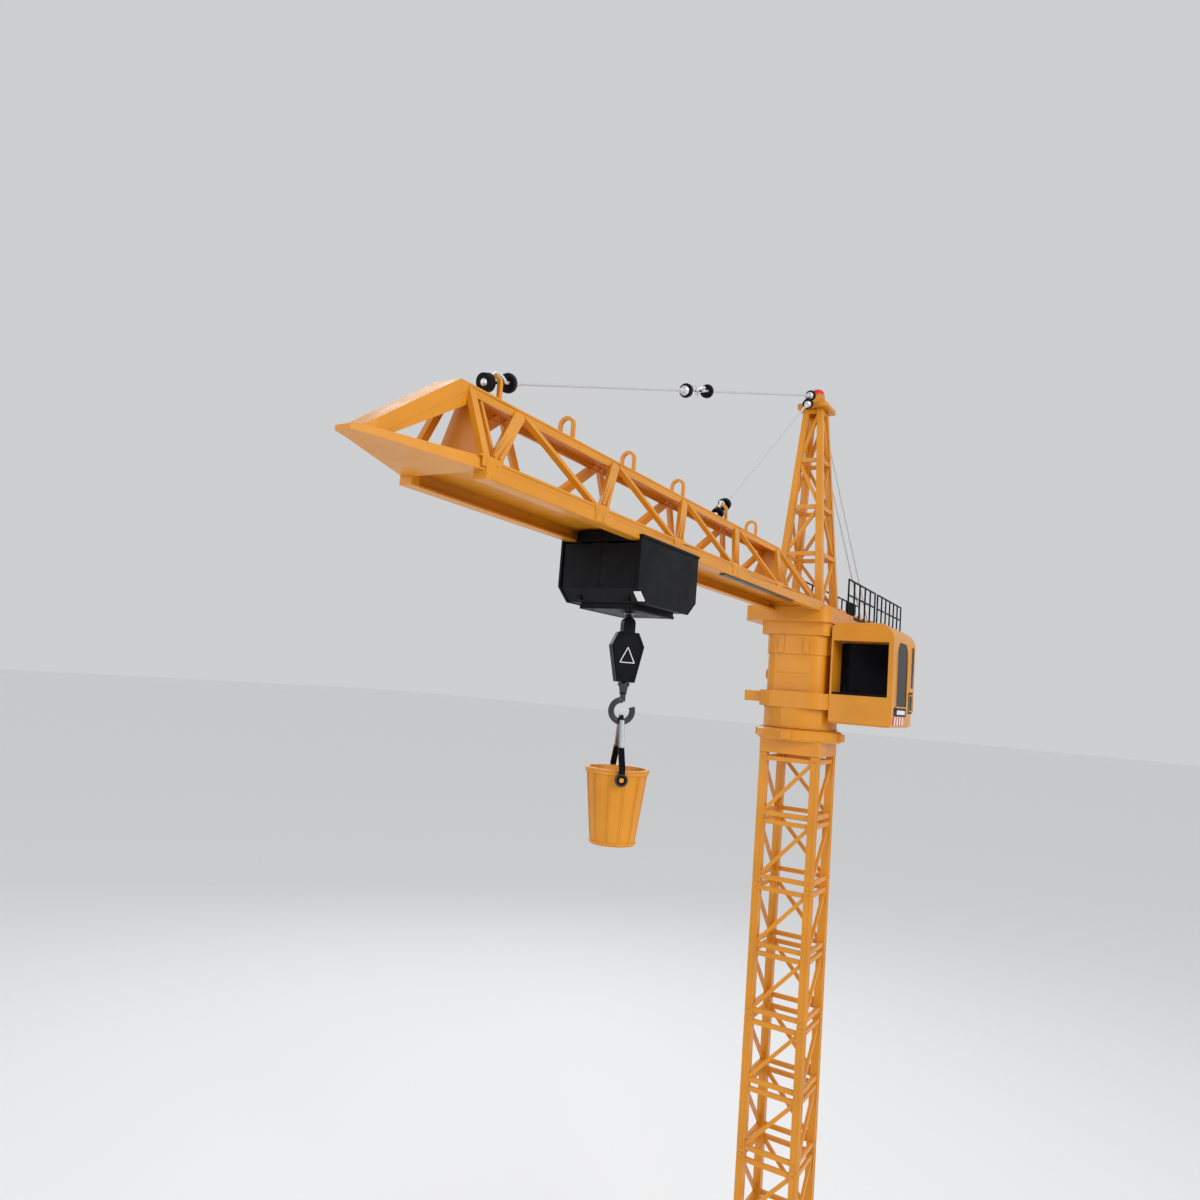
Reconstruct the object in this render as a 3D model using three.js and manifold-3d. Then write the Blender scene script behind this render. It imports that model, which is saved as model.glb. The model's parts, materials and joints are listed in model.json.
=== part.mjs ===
// Toy tower crane: base on four legs, five-section lattice mast, motorised slewing turret with
// cab, lattice jib with a travelling trolley and hoist, counter-jib with counterweight, A-frame
// with tie rods. Millimetres, +Z up, floor at z = 0. The jib points along -X, the cab is on -Y.
import * as THREE from 'three';
import { mergeVertices } from 'three/addons/utils/BufferGeometryUtils.js';
import Module from 'manifold-3d';

const wasm = await Module();
wasm.setup();

// ---------------------------------------------------------------- driving dimensions
const GAP = 0.3; // clearance between separate pieces
const DECK_LEVEL = 1031.5; // top of the jib's bottom chords above the floor
const HUB_TOP = 181; // top of the base hub, where the mast starts
const SECTION_COUNT = 5;
const SECTION_LENGTH = (DECK_LEVEL - 165 - HUB_TOP) / SECTION_COUNT;
const MAST_HALF = 32;
const POST = 8; // mast corner post
const FOOT_HALF = 124; // half the square that the feet stand on

const PANEL = 107.9; // jib truss panel
const ROOT_NODE = -62.1; // last lower truss node, next to the turret
const POST_LEAN = 47.7; // how far an upper node lies towards the root from its lower node
const CHORD_HALF = 28.5; // outer half width of the bottom chords
const RAIL_HALF = 29.5;
const RAIL_DEPTH = 11;
const TOP_HALF = 8.6; // half width of the top chord
const JIB_HEIGHT = 42.6;
const JIB_TIP = -673;
const NOSE_HALF = 5; // half width of the jib's blunt tip
const JIB_END = -602; // bulkhead end of the top chord
const RAIL_START = -606;
const LOOPS = [-572, -497, -417.5, -337, -250, -178]; // eyelets on the top chord
const LOOP_CENTRE = JIB_HEIGHT + 10;

const TROLLEY_X = -401.5;
const DRUM_X = TROLLEY_X - 7;
const DRUM_RADIUS = 8.6; // to the middle of the cord on it
const CORD_X = DRUM_X + DRUM_RADIUS; // the cord leaves the drum on the root side
const CORD_RADIUS = 0.6;
const COUNTER_END = 350;
const FRAME_TOP = 222.5; // top of the A-frame above the deck level
const FRAME_FOOT = [33, 27.6]; // half widths of the A-frame in x and y at its feet
const FRAME_HEAD = [12.6, 10.8];
const BALLAST_HEIGHT = 22;
const BAIL_TURN = THREE.MathUtils.degToRad(37); // bail axis, turned from -X towards -Y

// ---------------------------------------------------------------- materials
const LOOKS = {
  yellow: { color: 0xe0912f, roughness: 0.42, metalness: 0.0 },
  black: { color: 0x17181b, roughness: 0.45, metalness: 0.0 },
  window: { color: 0x0b0d12, roughness: 0.12, metalness: 0.0 },
  red: { color: 0xc9252b, roughness: 0.25, metalness: 0.0 },
  steel: { color: 0xb9bcc0, roughness: 0.25, metalness: 1.0 },
  iron: { color: 0x4c4d50, roughness: 0.6, metalness: 0.8 },
  white: { color: 0xdcdcd6, roughness: 0.5, metalness: 0.0 },
  green: { color: 0x1f6b3a, roughness: 0.5, metalness: 0.0 },
};

// ---------------------------------------------------------------- solids
function toSolid(geometry) {
  geometry.deleteAttribute('normal');
  geometry.deleteAttribute('uv');
  const merged = mergeVertices(geometry, 1e-4);
  const mesh = new wasm.Mesh({
    numProp: 3,
    vertProperties: Float32Array.from(merged.attributes.position.array),
    triVerts: Uint32Array.from(merged.index.array),
  });
  return new wasm.Manifold(mesh);
}

function toGeometry(solid) {
  const mesh = solid.getMesh();
  const geometry = new THREE.BufferGeometry();
  geometry.setAttribute('position', new THREE.BufferAttribute(mesh.vertProperties, 3));
  geometry.setIndex(new THREE.BufferAttribute(mesh.triVerts, 1));
  geometry.computeVertexNormals();
  return geometry;
}

function join(solids) {
  return solids.reduce((whole, solid) => whole.add(solid));
}

function cut(solid, tools) {
  return tools.reduce((whole, tool) => whole.subtract(tool), solid);
}

function box(x0, x1, y0, y1, z0, z1) {
  const geometry = new THREE.BoxGeometry(x1 - x0, y1 - y0, z1 - z0);
  geometry.translate((x0 + x1) / 2, (y0 + y1) / 2, (z0 + z1) / 2);
  return toSolid(geometry);
}

// Square bar from one point to another. across is the direction of its width.
function bar(from, to, width, depth, across) {
  const start = new THREE.Vector3(...from);
  const end = new THREE.Vector3(...to);
  const along = end.clone().sub(start);
  const geometry = new THREE.BoxGeometry(width, depth, along.length());
  const zAxis = along.clone().normalize();
  const yAxis = new THREE.Vector3().crossVectors(zAxis, new THREE.Vector3(...across)).normalize();
  const xAxis = new THREE.Vector3().crossVectors(yAxis, zAxis);
  const matrix = new THREE.Matrix4().makeBasis(xAxis, yAxis, zAxis);
  matrix.setPosition(start.add(end).multiplyScalar(0.5));
  geometry.applyMatrix4(matrix);
  return toSolid(geometry);
}

function rod(from, to, radius, sides = 12) {
  const start = new THREE.Vector3(...from);
  const end = new THREE.Vector3(...to);
  const along = end.clone().sub(start);
  const geometry = new THREE.CylinderGeometry(radius, radius, along.length(), sides);
  const turn = new THREE.Quaternion();
  turn.setFromUnitVectors(new THREE.Vector3(0, 1, 0), along.clone().normalize());
  geometry.applyQuaternion(turn);
  const middle = start.add(end).multiplyScalar(0.5);
  geometry.translate(middle.x, middle.y, middle.z);
  return toSolid(geometry);
}

// Profile of [radius, height] pairs turned about the vertical axis.
function turned(profile, sides = 24, x = 0, y = 0) {
  const points = profile.map(([radius, height]) => new THREE.Vector2(radius, height));
  const geometry = new THREE.LatheGeometry(points, sides);
  geometry.rotateX(Math.PI / 2);
  geometry.translate(x, y, 0);
  return toSolid(geometry);
}

function outline(points) {
  return new THREE.Shape(points.map(([a, b]) => new THREE.Vector2(a, b)));
}

// Extrudes a shape of (x, y) upwards.
function prismZ(shape, z0, z1, curveSegments = 4) {
  const geometry = new THREE.ExtrudeGeometry(shape, { depth: z1 - z0, bevelEnabled: false, curveSegments });
  geometry.translate(0, 0, z0);
  return toSolid(geometry);
}

// Extrudes a shape of (y, z) along X.
function prismX(shape, x0, x1, curveSegments = 4) {
  const geometry = new THREE.ExtrudeGeometry(shape, { depth: x1 - x0, bevelEnabled: false, curveSegments });
  const matrix = new THREE.Matrix4().makeBasis(
    new THREE.Vector3(0, 1, 0),
    new THREE.Vector3(0, 0, 1),
    new THREE.Vector3(1, 0, 0),
  );
  matrix.setPosition(x0, 0, 0);
  geometry.applyMatrix4(matrix);
  return toSolid(geometry);
}

// Extrudes a shape of (x, z) along Y, from the larger y down to the smaller one.
function prismY(shape, y0, y1, curveSegments = 4) {
  const geometry = new THREE.ExtrudeGeometry(shape, { depth: y1 - y0, bevelEnabled: false, curveSegments });
  geometry.rotateX(Math.PI / 2);
  geometry.translate(0, y1, 0);
  return toSolid(geometry);
}

// Rectangle with its four corner radii, counter-clockwise from the lower left.
function roundedRect(x0, x1, y0, y1, radii) {
  const [a, b, c, d] = radii;
  const shape = new THREE.Shape();
  shape.moveTo(x0 + a, y0);
  shape.lineTo(x1 - b, y0);
  shape.absarc(x1 - b, y0 + b, b, -Math.PI / 2, 0, false);
  shape.lineTo(x1, y1 - c);
  shape.absarc(x1 - c, y1 - c, c, 0, Math.PI / 2, false);
  shape.lineTo(x0 + d, y1);
  shape.absarc(x0 + d, y1 - d, d, Math.PI / 2, Math.PI, false);
  shape.lineTo(x0, y0 + a);
  shape.absarc(x0 + a, y0 + a, a, Math.PI, 1.5 * Math.PI, false);
  return shape;
}

function roundedSquare(half, radius) {
  return roundedRect(-half, half, -half, half, [radius, radius, radius, radius]);
}

function quarterTurns(solid) {
  return [0, 90, 180, 270].map((angle) => solid.rotate([0, 0, angle]));
}

// Spur gear outline with straight-sided teeth, turned by phase.
function gearShape(teeth, module, phase) {
  const pitchRadius = (teeth * module) / 2;
  const root = pitchRadius - 1.15 * module;
  const tip = pitchRadius + 0.75 * module;
  const pitch = (2 * Math.PI) / teeth;
  const points = [];
  for (let i = 0; i < teeth; i += 1) {
    const middle = phase + i * pitch;
    for (const [offset, radius] of [[-0.27, root], [-0.11, tip], [0.11, tip], [0.27, root]]) {
      const angle = middle + offset * pitch;
      points.push([radius * Math.cos(angle), radius * Math.sin(angle)]);
    }
  }
  return outline(points);
}

// ---------------------------------------------------------------- assembly
const crane = new THREE.Group();
crane.position.x = -(JIB_TIP + COUNTER_END) / 2; // centres the whole length on the origin
const upperWorks = new THREE.Group();
upperWorks.position.z = DECK_LEVEL;
crane.add(upperWorks);

function piece(name, look, solid, parent = upperWorks) {
  const material = new THREE.MeshStandardMaterial(LOOKS[look]);
  const mesh = new THREE.Mesh(toGeometry(solid), material);
  mesh.name = name;
  parent.add(mesh);
  return mesh;
}

// ---------------------------------------------------------------- base
const HUB_HALF = 52;
const HUB_BOTTOM = 148;

function baseHub() {
  const skirt = prismZ(roundedSquare(HUB_HALF, 8), HUB_BOTTOM, HUB_TOP - 12);
  const collar = prismZ(roundedSquare(MAST_HALF + 8, 5), HUB_TOP - 12.5, HUB_TOP - GAP);
  const sleeve = prismZ(roundedSquare(MAST_HALF + 4.5, 3), HUB_TOP - 12, HUB_TOP + 9);
  const mastSpace = prismZ(roundedSquare(MAST_HALF + GAP, 0.5), HUB_TOP - GAP, HUB_TOP + 10);
  const hollow = box(-22, 22, -22, 22, HUB_BOTTOM - 1, HUB_TOP + 1);
  return cut(join([skirt, collar, sleeve]), [mastSpace, hollow]);
}

// A leg is a tapered box girder, widest at the hub, standing on a flat foot.
function leg() {
  const spread = Math.SQRT2;
  const top = 34 * spread;
  const bottom = (FOOT_HALF - 13) * spread;
  const side = outline([
    [top, HUB_BOTTOM - GAP], [top + 26, HUB_BOTTOM - GAP], [bottom + 11, 8], [bottom - 11, 8],
  ]);
  const girder = prismY(side, -9, 9);
  const foot = prismZ(roundedRect(bottom - 17, bottom + 15, -15, 15, [5, 8, 8, 5]), 0, 9);
  const rib = bar([top + 20, 0, HUB_BOTTOM - 6], [bottom + 3, 0, 10], 24, 4, [0, 1, 0]);
  const trimmed = rib.intersect(box(0, 400, -12, 12, 4, HUB_BOTTOM - GAP));
  return join([girder, foot, trimmed]);
}

// Four ties between the legs and a cross, held inside the legs at one level.
function baseBrace() {
  const bars = [];
  const half = 62;
  const level = 62;
  for (const turn of [0, 90, 180, 270]) {
    bars.push(box(-half, half, half - 8, half, level, level + 12).rotate([0, 0, turn]));
    const arch = bar([-half + 4, half - 4, level + 6], [-30, 34, HUB_BOTTOM - 8], 5, 7, [0, 1, 0]);
    bars.push(arch.rotate([0, 0, turn]));
    const mirrored = bar([half - 4, half - 4, level + 6], [30, 34, HUB_BOTTOM - 8], 5, 7, [0, 1, 0]);
    bars.push(mirrored.rotate([0, 0, turn]));
    bars.push(box(-34, 34, 31, 37, HUB_BOTTOM - 12, HUB_BOTTOM - 5).rotate([0, 0, turn]));
  }
  return join(bars);
}

function buildBase() {
  piece('base_hub', 'black', baseHub(), crane);
  const brace = baseBrace();
  const legSolid = leg();
  const legs = [45, 135, 225, 315].map((angle) => legSolid.rotate([0, 0, angle]));
  const clearance = legs.map((solid) => fatten(solid));
  piece('base_brace', 'black', cut(brace, clearance), crane);
  legs.forEach((solid, i) => piece(`leg_${i + 1}`, 'black', solid, crane));
}

// Grows a leg by the gap on each side by joining shifted copies.
function fatten(solid) {
  const shifts = [[GAP, 0], [-GAP, 0], [0, GAP], [0, -GAP]];
  return join([solid, ...shifts.map(([x, y]) => solid.translate([x, y, 0]))]);
}

// ---------------------------------------------------------------- mast
const PIN = 2; // half width of the plug pin on top of each post
const RING_HEIGHT = 4.6;
const RING_LEVELS = [6, SECTION_LENGTH / 2 - 4.5, SECTION_LENGTH / 2 + 4.5, SECTION_LENGTH - 6];

function mastFace() {
  const outer = MAST_HALF - 0.6;
  const inner = MAST_HALF - POST + 0.5;
  const half = RING_HEIGHT / 2;
  const bars = RING_LEVELS.map((z) => box(-outer, -outer + 3.4, -inner, inner, z - half, z + half));
  const x = -outer + 1.9;
  const y = MAST_HALF - POST + 1;
  for (const [low, high] of [[RING_LEVELS[0], RING_LEVELS[1]], [RING_LEVELS[2], RING_LEVELS[3]]]) {
    bars.push(bar([x, y, low + 2], [x, -y, high - 2], 3, 3.8, [1, 0, 0]));
  }
  return join(bars);
}

// Upright square bar on the mast's corner post, by its half width.
function cornerPost(half, z0, z1) {
  const centre = MAST_HALF - POST / 2;
  return box(centre - half, centre + half, centre - half, centre + half, z0, z1);
}

function mastSection() {
  const shaft = cornerPost(POST / 2, GAP / 2, SECTION_LENGTH - GAP / 2);
  const pin = cornerPost(PIN, SECTION_LENGTH - 1, SECTION_LENGTH + 5);
  const socket = cornerPost(PIN + GAP, 0, 5.5 + GAP);
  const posts = quarterTurns(cut(shaft.add(pin), [socket]));
  return join([...posts, ...quarterTurns(mastFace())]);
}

function buildMast() {
  const section = mastSection();
  for (let i = 0; i < SECTION_COUNT; i += 1) {
    piece(`mast_section_${i + 1}`, 'yellow', section, crane).position.z = HUB_TOP + i * SECTION_LENGTH;
  }
}

// ---------------------------------------------------------------- slewing joint
const COLLAR_BOTTOM = -165;
const FLANGE_BOTTOM = -150;
const FLANGE_TOP = -138;
const SPIGOT_RADIUS = 14;
const GEAR_MODULE = 1;
const RING_TEETH = 36;
const PINION_TEETH = 12;
const MESH_DISTANCE = ((RING_TEETH + PINION_TEETH) * GEAR_MODULE) / 2 + 0.35;
const PINION_ANGLE = (3 * Math.PI) / 4;
const PINION_X = MESH_DISTANCE * Math.cos(PINION_ANGLE);
const PINION_Y = MESH_DISTANCE * Math.sin(PINION_ANGLE);

function mastHead() {
  const collar = prismZ(roundedSquare(MAST_HALF + 1, 2), COLLAR_BOTTOM + GAP / 2, FLANGE_BOTTOM + 1);
  const flange = turned([[0, FLANGE_BOTTOM], [44, FLANGE_BOTTOM], [45.5, FLANGE_BOTTOM + 2],
    [45.5, FLANGE_TOP - 2], [44, FLANGE_TOP], [0, FLANGE_TOP]], 28);
  const lugPlan = roundedRect(43, 49, -6, 6, [0.1, 2, 2, 0.1]);
  const lugs = quarterTurns(prismZ(lugPlan, FLANGE_BOTTOM + 2, FLANGE_TOP - 2, 3));
  const spigotFoot = FLANGE_TOP - 1;
  const spigot = turned([[0, spigotFoot], [SPIGOT_RADIUS, spigotFoot], [SPIGOT_RADIUS, -96], [0, -96]], 24);
  const hollow = box(-22, 22, -22, 22, COLLAR_BOTTOM - 1, FLANGE_TOP - 5);
  const bore = turned([[0, COLLAR_BOTTOM], [10, COLLAR_BOTTOM], [10, -90], [0, -90]], 24);
  const socket = cornerPost(PIN + GAP, COLLAR_BOTTOM - 1, COLLAR_BOTTOM + 5.5);
  return cut(join([collar, flange, spigot, ...lugs]), [hollow, bore, ...quarterTurns(socket)]);
}

function slewGear() {
  const wheel = prismZ(gearShape(RING_TEETH, GEAR_MODULE, PINION_ANGLE), FLANGE_TOP + GAP, FLANGE_TOP + 9);
  const bore = rod([0, 0, FLANGE_TOP], [0, 0, FLANGE_TOP + 12], SPIGOT_RADIUS + GAP, 24);
  return wheel.subtract(bore);
}

function slewPinion() {
  const phase = PINION_ANGLE + Math.PI + Math.PI / PINION_TEETH;
  const wheel = prismZ(gearShape(PINION_TEETH, GEAR_MODULE, phase), FLANGE_TOP + 1, FLANGE_TOP + 9);
  const shaft = rod([0, 0, FLANGE_TOP + 8], [0, 0, HOUSE_BOTTOM - GAP], 1.5);
  return wheel.add(shaft).translate([PINION_X, PINION_Y, 0]);
}

// ---------------------------------------------------------------- turret
const LEDGE_BOTTOM = -115;
const HOUSE_BOTTOM = -98;
const BAND_BOTTOM = -57.4;
const HOUSE_TOP = -36.6;
const HOUSE_HALF = 32.5;
const DECK_STEP = -22.3;
const DECK_TOP = -6;

const NECK_RADIUS = 39.5;

function disc(radius, low, high) {
  return turned([[0, low], [radius, low], [radius, high], [0, high]], 28);
}

function turretHousing() {
  const walls = prismZ(roundedSquare(HOUSE_HALF, 14), HOUSE_BOTTOM - 1, HOUSE_TOP - GAP);
  const band = prismZ(roundedSquare(HOUSE_HALF + 1.3, 15), BAND_BOTTOM, HOUSE_TOP - GAP);
  const ledge = prismZ(roundedSquare(40, 22), LEDGE_BOTTOM, HOUSE_BOTTOM);
  const tab = prismZ(roundedRect(-24, 24, 20, 58, [1, 1, 4, 4]), LEDGE_BOTTOM + 4, HOUSE_BOTTOM - 1.5, 3);
  const neck = disc(NECK_RADIUS, FLANGE_TOP + GAP, LEDGE_BOTTOM + 1);
  const strips = [];
  for (const y of [-14, 14]) {
    const strip = box(-HOUSE_HALF - 2.6, -HOUSE_HALF + 1, y - 3, y + 3, BAND_BOTTOM + 0.8, HOUSE_TOP - 0.8);
    strips.push(...quarterTurns(strip));
  }
  const knob = box(-6, 6, HOUSE_HALF - 1, HOUSE_HALF + 5, -86, -73);
  const room = prismZ(roundedSquare(HOUSE_HALF - 3, 11), HOUSE_BOTTOM, HOUSE_TOP);
  const skirt = disc(NECK_RADIUS - 3, FLANGE_TOP, LEDGE_BOTTOM);
  const spigotHole = rod([0, 0, LEDGE_BOTTOM - 1], [0, 0, HOUSE_BOTTOM + 1], SPIGOT_RADIUS + 0.4, 24);
  const pinionTop = [PINION_X, PINION_Y, HOUSE_BOTTOM + 1];
  const shaftHole = rod([PINION_X, PINION_Y, LEDGE_BOTTOM - 1], pinionTop, 2);
  const hatch = box(HOUSE_HALF - 6, HOUSE_HALF + 2, -18, 18, -92, -62);
  const slot = box(HOUSE_HALF - 6, HOUSE_HALF + 4, -4.1, 4.1, -51, -46);
  const cabSide = box(-60, 90, -60, CAB_INNER + GAP, CAB_BOTTOM - GAP, 0);
  const body = join([walls, band, ledge, tab, neck, knob, ...strips]).subtract(cabSide);
  return cut(body, [room, skirt, spigotHole, shaftHole, hatch, slot]);
}

function turretDeck() {
  const slab = prismZ(roundedRect(-40, 60, -38, 57.5, [10, 3, 12, 12]), DECK_STEP, DECK_TOP);
  const step = prismZ(roundedRect(-34, 38, -36, 39, [8, 8, 8, 8]), HOUSE_TOP, DECK_STEP + 1);
  const hollow = box(-29, 33, -29, 29, HOUSE_TOP - 1, DECK_TOP - 3);
  return cut(step.add(slab), [hollow]);
}

function batteryCover() {
  const lip = box(HOUSE_HALF + GAP, HOUSE_HALF + 1.8, -21, 21, -95, -59.5);
  const plug = box(HOUSE_HALF - 2.6, HOUSE_HALF + 1, -18 + GAP, 18 - GAP, -92 + GAP, -62 - GAP);
  const [gripStart, gripEnd] = [HOUSE_HALF + 1.5, HOUSE_HALF + 2.6];
  const grips = [-12, -6, 0, 6, 12].map((y) => box(gripStart, gripEnd, y - 1, y + 1, -70, -64));
  return join([lip, plug, ...grips]);
}

function powerSwitch() {
  const knob = box(HOUSE_HALF - 4.6, HOUSE_HALF + 3, -3.75, 0.25, -51 + GAP, -46 - GAP);
  const carriage = box(HOUSE_HALF - 6, HOUSE_HALF - 3.4, -9, 5.5, -53, -44);
  return knob.add(carriage);
}

function buildTurret() {
  piece('mast_head', 'yellow', mastHead());
  piece('slew_gear', 'white', slewGear());
  piece('slew_pinion', 'white', slewPinion());
  piece('turret_housing', 'yellow', turretHousing());
  piece('turret_deck', 'yellow', turretDeck());
  const motorFoot = [PINION_X, PINION_Y, HOUSE_BOTTOM + GAP];
  piece('slew_motor', 'steel', rod(motorFoot, [PINION_X, PINION_Y, -68], 8, 20));
  piece('control_board', 'green', box(-7.8, -6.2, -24, 8, -94, -42));
  piece('battery_pack', 'black', prismX(roundedRect(-17, 17, -90, -64, [5, 5, 5, 5]), 4, 26));
  piece('battery_cover', 'yellow', batteryCover());
  piece('power_switch', 'black', powerSwitch());
}

// ---------------------------------------------------------------- cab
const CAB_FRONT = -27;
const CAB_INNER = -38.7;
const CAB_OUTER = -103;
const CAB_BOTTOM = -128;
const CAB_TOP = -21;
const WINDOW_LOW = -97.5; // sill and top of the open front
const WINDOW_HIGH = -40.5;
const SIDE_WINDOW = [-9, 43, -105.5, -38.5];
const REAR_WINDOW = [63, 76, -84.5, -39];
const GLASS_X = 6; // how far in the front pane stands

function pane([x0, x1, z0, z1], radii, inset, y0, y1) {
  return prismY(roundedRect(x0 + inset, x1 - inset, z0 + inset, z1 - inset, radii), y0, y1);
}

function cabShell() {
  const frontView = roundedRect(CAB_OUTER, CAB_INNER, CAB_BOTTOM, CAB_TOP, [5, 3, 9, 17]);
  const sideView = new THREE.Shape();
  sideView.moveTo(CAB_FRONT + 2, CAB_BOTTOM);
  sideView.lineTo(64, CAB_BOTTOM);
  sideView.absarc(64, CAB_BOTTOM + 5, 5, -Math.PI / 2, 0, false);
  sideView.lineTo(79, CAB_TOP - 22);
  sideView.absarc(65, CAB_TOP - 16, 16, 0, Math.PI / 2, false);
  sideView.lineTo(CAB_FRONT + 5, CAB_TOP);
  sideView.absarc(CAB_FRONT + 5, CAB_TOP - 5, 5, Math.PI / 2, Math.PI, false);
  sideView.lineTo(CAB_FRONT, CAB_BOTTOM + 2);
  const profile = prismY(sideView, CAB_OUTER - 1, CAB_INNER + 1, 7);
  const body = prismX(frontView, CAB_FRONT, 82, 7).intersect(profile);
  const [y0, y1] = [CAB_OUTER + 5, CAB_INNER - 2];
  const recess = box(CAB_FRONT - 1, GLASS_X + 2, y0, y1, WINDOW_LOW, WINDOW_HIGH);
  const [wall, open] = [CAB_OUTER + 3.5, CAB_INNER + 1];
  const room = box(CAB_FRONT + 3, 62, wall, open, CAB_BOTTOM + 4, WINDOW_LOW - 6);
  const rearRoom = box(GLASS_X + 2, 66, wall, open, WINDOW_LOW - 6.5, CAB_TOP - 10);
  const sidePane = pane(SIDE_WINDOW, [1, 1, 14, 14], 0, CAB_OUTER - 1, CAB_OUTER + 1.6);
  const rearPane = pane(REAR_WINDOW, [1, 1, 3, 1], 0, CAB_OUTER - 1, CAB_OUTER + 1.6);
  return cut(body, [recess, room, rearRoom, sidePane, rearPane]);
}

function cabConsole() {
  const top = WINDOW_LOW + 2.5;
  const [y0, y1] = [CAB_OUTER + 5 + GAP, CAB_INNER - 2 - GAP];
  const sill = box(CAB_FRONT + 1, GLASS_X - 0.5, y0, y1, WINDOW_LOW + GAP, top);
  const stick = rod([CAB_FRONT + 8, -52, top - 0.5], [CAB_FRONT + 10, -52, top + 5.5], 1.2, 8);
  return sill.add(stick);
}

function buildCab() {
  const sidePane = pane(SIDE_WINDOW, [1, 1, 13.7, 13.7], GAP, CAB_OUTER + 0.4, CAB_OUTER + 1.3);
  const rearPane = pane(REAR_WINDOW, [1, 1, 3, 1], GAP, CAB_OUTER + 0.4, CAB_OUTER + 1.3);
  const [y0, y1] = [CAB_OUTER + 5 + GAP, CAB_INNER - 2 - GAP];
  const frontPane = box(GLASS_X, GLASS_X + 1.6, y0, y1, WINDOW_LOW + GAP, WINDOW_HIGH - GAP);
  piece('cab_shell', 'yellow', cabShell());
  piece('cab_window_front', 'window', frontPane);
  piece('cab_window_side', 'window', sidePane);
  piece('cab_window_rear', 'window', rearPane);
  piece('cab_console', 'black', cabConsole());
}

// ---------------------------------------------------------------- A-frame
function frameHalf(z) {
  const share = (z - DECK_TOP) / (FRAME_TOP - DECK_TOP);
  return FRAME_FOOT.map((foot, i) => foot + (FRAME_HEAD[i] - foot) * share);
}

const FRAME_POST = 8;
const HEAD_CLIP_X = -28;
const CLIP_RADIUS = 5.4;
const CAP_LUG_X = -22.8;
const FRAME_LEVELS = [DECK_TOP + 3, 53.8, 107.3, 161.7, FRAME_TOP - 3];

// Tapered post with its outer corner on the frame's corner line.
function framePost(signX, signY) {
  const [footX, footY] = FRAME_FOOT;
  const [headX, headY] = FRAME_HEAD;
  const geometry = new THREE.BoxGeometry(1, 1, 1);
  const position = geometry.attributes.position;
  for (let i = 0; i < position.count; i += 1) {
    const up = position.getZ(i) > 0;
    const width = up ? FRAME_POST - 1.6 : FRAME_POST;
    const x = (up ? headX : footX) - (position.getX(i) * signX > 0 ? 0 : width);
    const y = (up ? headY : footY) - (position.getY(i) * signY > 0 ? 0 : width);
    position.setXYZ(i, signX * x, signY * y, up ? FRAME_TOP : DECK_TOP + GAP);
  }
  return toSolid(geometry);
}

function aFrame() {
  const parts = [];
  for (const signX of [-1, 1]) {
    for (const signY of [-1, 1]) parts.push(framePost(signX, signY));
  }
  for (const z of FRAME_LEVELS) {
    const [x, y] = frameHalf(z).map((half) => half - 0.7);
    const outer = box(-x, x, -y, y, z - 2.3, z + 2.3);
    parts.push(outer.subtract(box(-x + 3, x - 3, -y + 3, y - 3, z - 3, z + 3)));
  }
  for (let i = 0; i < FRAME_LEVELS.length - 1; i += 1) {
    const [lowX, lowY] = frameHalf(FRAME_LEVELS[i]).map((half) => half - 2.4);
    const [highX, highY] = frameHalf(FRAME_LEVELS[i + 1]).map((half) => half - 2.4);
    const way = i % 2 === 0 ? -1 : 1;
    const low = FRAME_LEVELS[i];
    const high = FRAME_LEVELS[i + 1];
    for (const side of [-1, 1]) {
      const [foot, head] = [[side * lowX, way * (lowY - 1), low], [side * highX, -way * (highY - 1), high]];
      parts.push(bar(foot, head, 2.8, 3.6, [1, 0, 0]));
      const [footY, headY] = [[way * (lowX - 1), side * lowY, low], [-way * (highX - 1), side * highY, high]];
      parts.push(bar(footY, headY, 2.8, 3.6, [0, 1, 0]));
    }
  }
  return join(parts);
}

function frameCap() {
  const plate = prismZ(roundedRect(-19, 19, -17, 17, [2, 2, 2, 2]), FRAME_TOP + GAP, FRAME_TOP + 5, 2);
  const lug = box(CAP_LUG_X, -16, -1.6, 1.6, FRAME_TOP + 0.6, FRAME_TOP + 9.4);
  const dome = new THREE.CylinderGeometry(11, 21, 11, 4);
  dome.rotateX(Math.PI / 2);
  dome.rotateZ(Math.PI / 4);
  dome.translate(0, 0, FRAME_TOP + 10.2);
  const seat = rod([0, 0, FRAME_TOP + 15], [0, 0, FRAME_TOP + 17.2], 8.6, 20);
  return join([plate, lug, toSolid(dome), seat]);
}

function buildFrame() {
  piece('a_frame', 'yellow', aFrame());
  piece('a_frame_cap', 'yellow', frameCap());
  const lamp = [[0, 17.5], [7.8, 17.5], [7.6, 22], [6, 24.6], [3.4, 25.8], [0, 26]];
  piece('beacon', 'red', turned(lamp.map(([radius, up]) => [radius, FRAME_TOP + up]), 24));
}

// ---------------------------------------------------------------- jib
const LOWER_NODES = [5, 4, 3, 2, 1, 0].map((i) => ROOT_NODE - i * PANEL);
const UPPER_NODES = LOWER_NODES.slice(0, 5).map((x) => x + POST_LEAN);
const TOP_END = UPPER_NODES[4] + 5;
const SPLITS = [LOWER_NODES[1], LOWER_NODES[3]]; // where the jib's three mouldings meet

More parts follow.
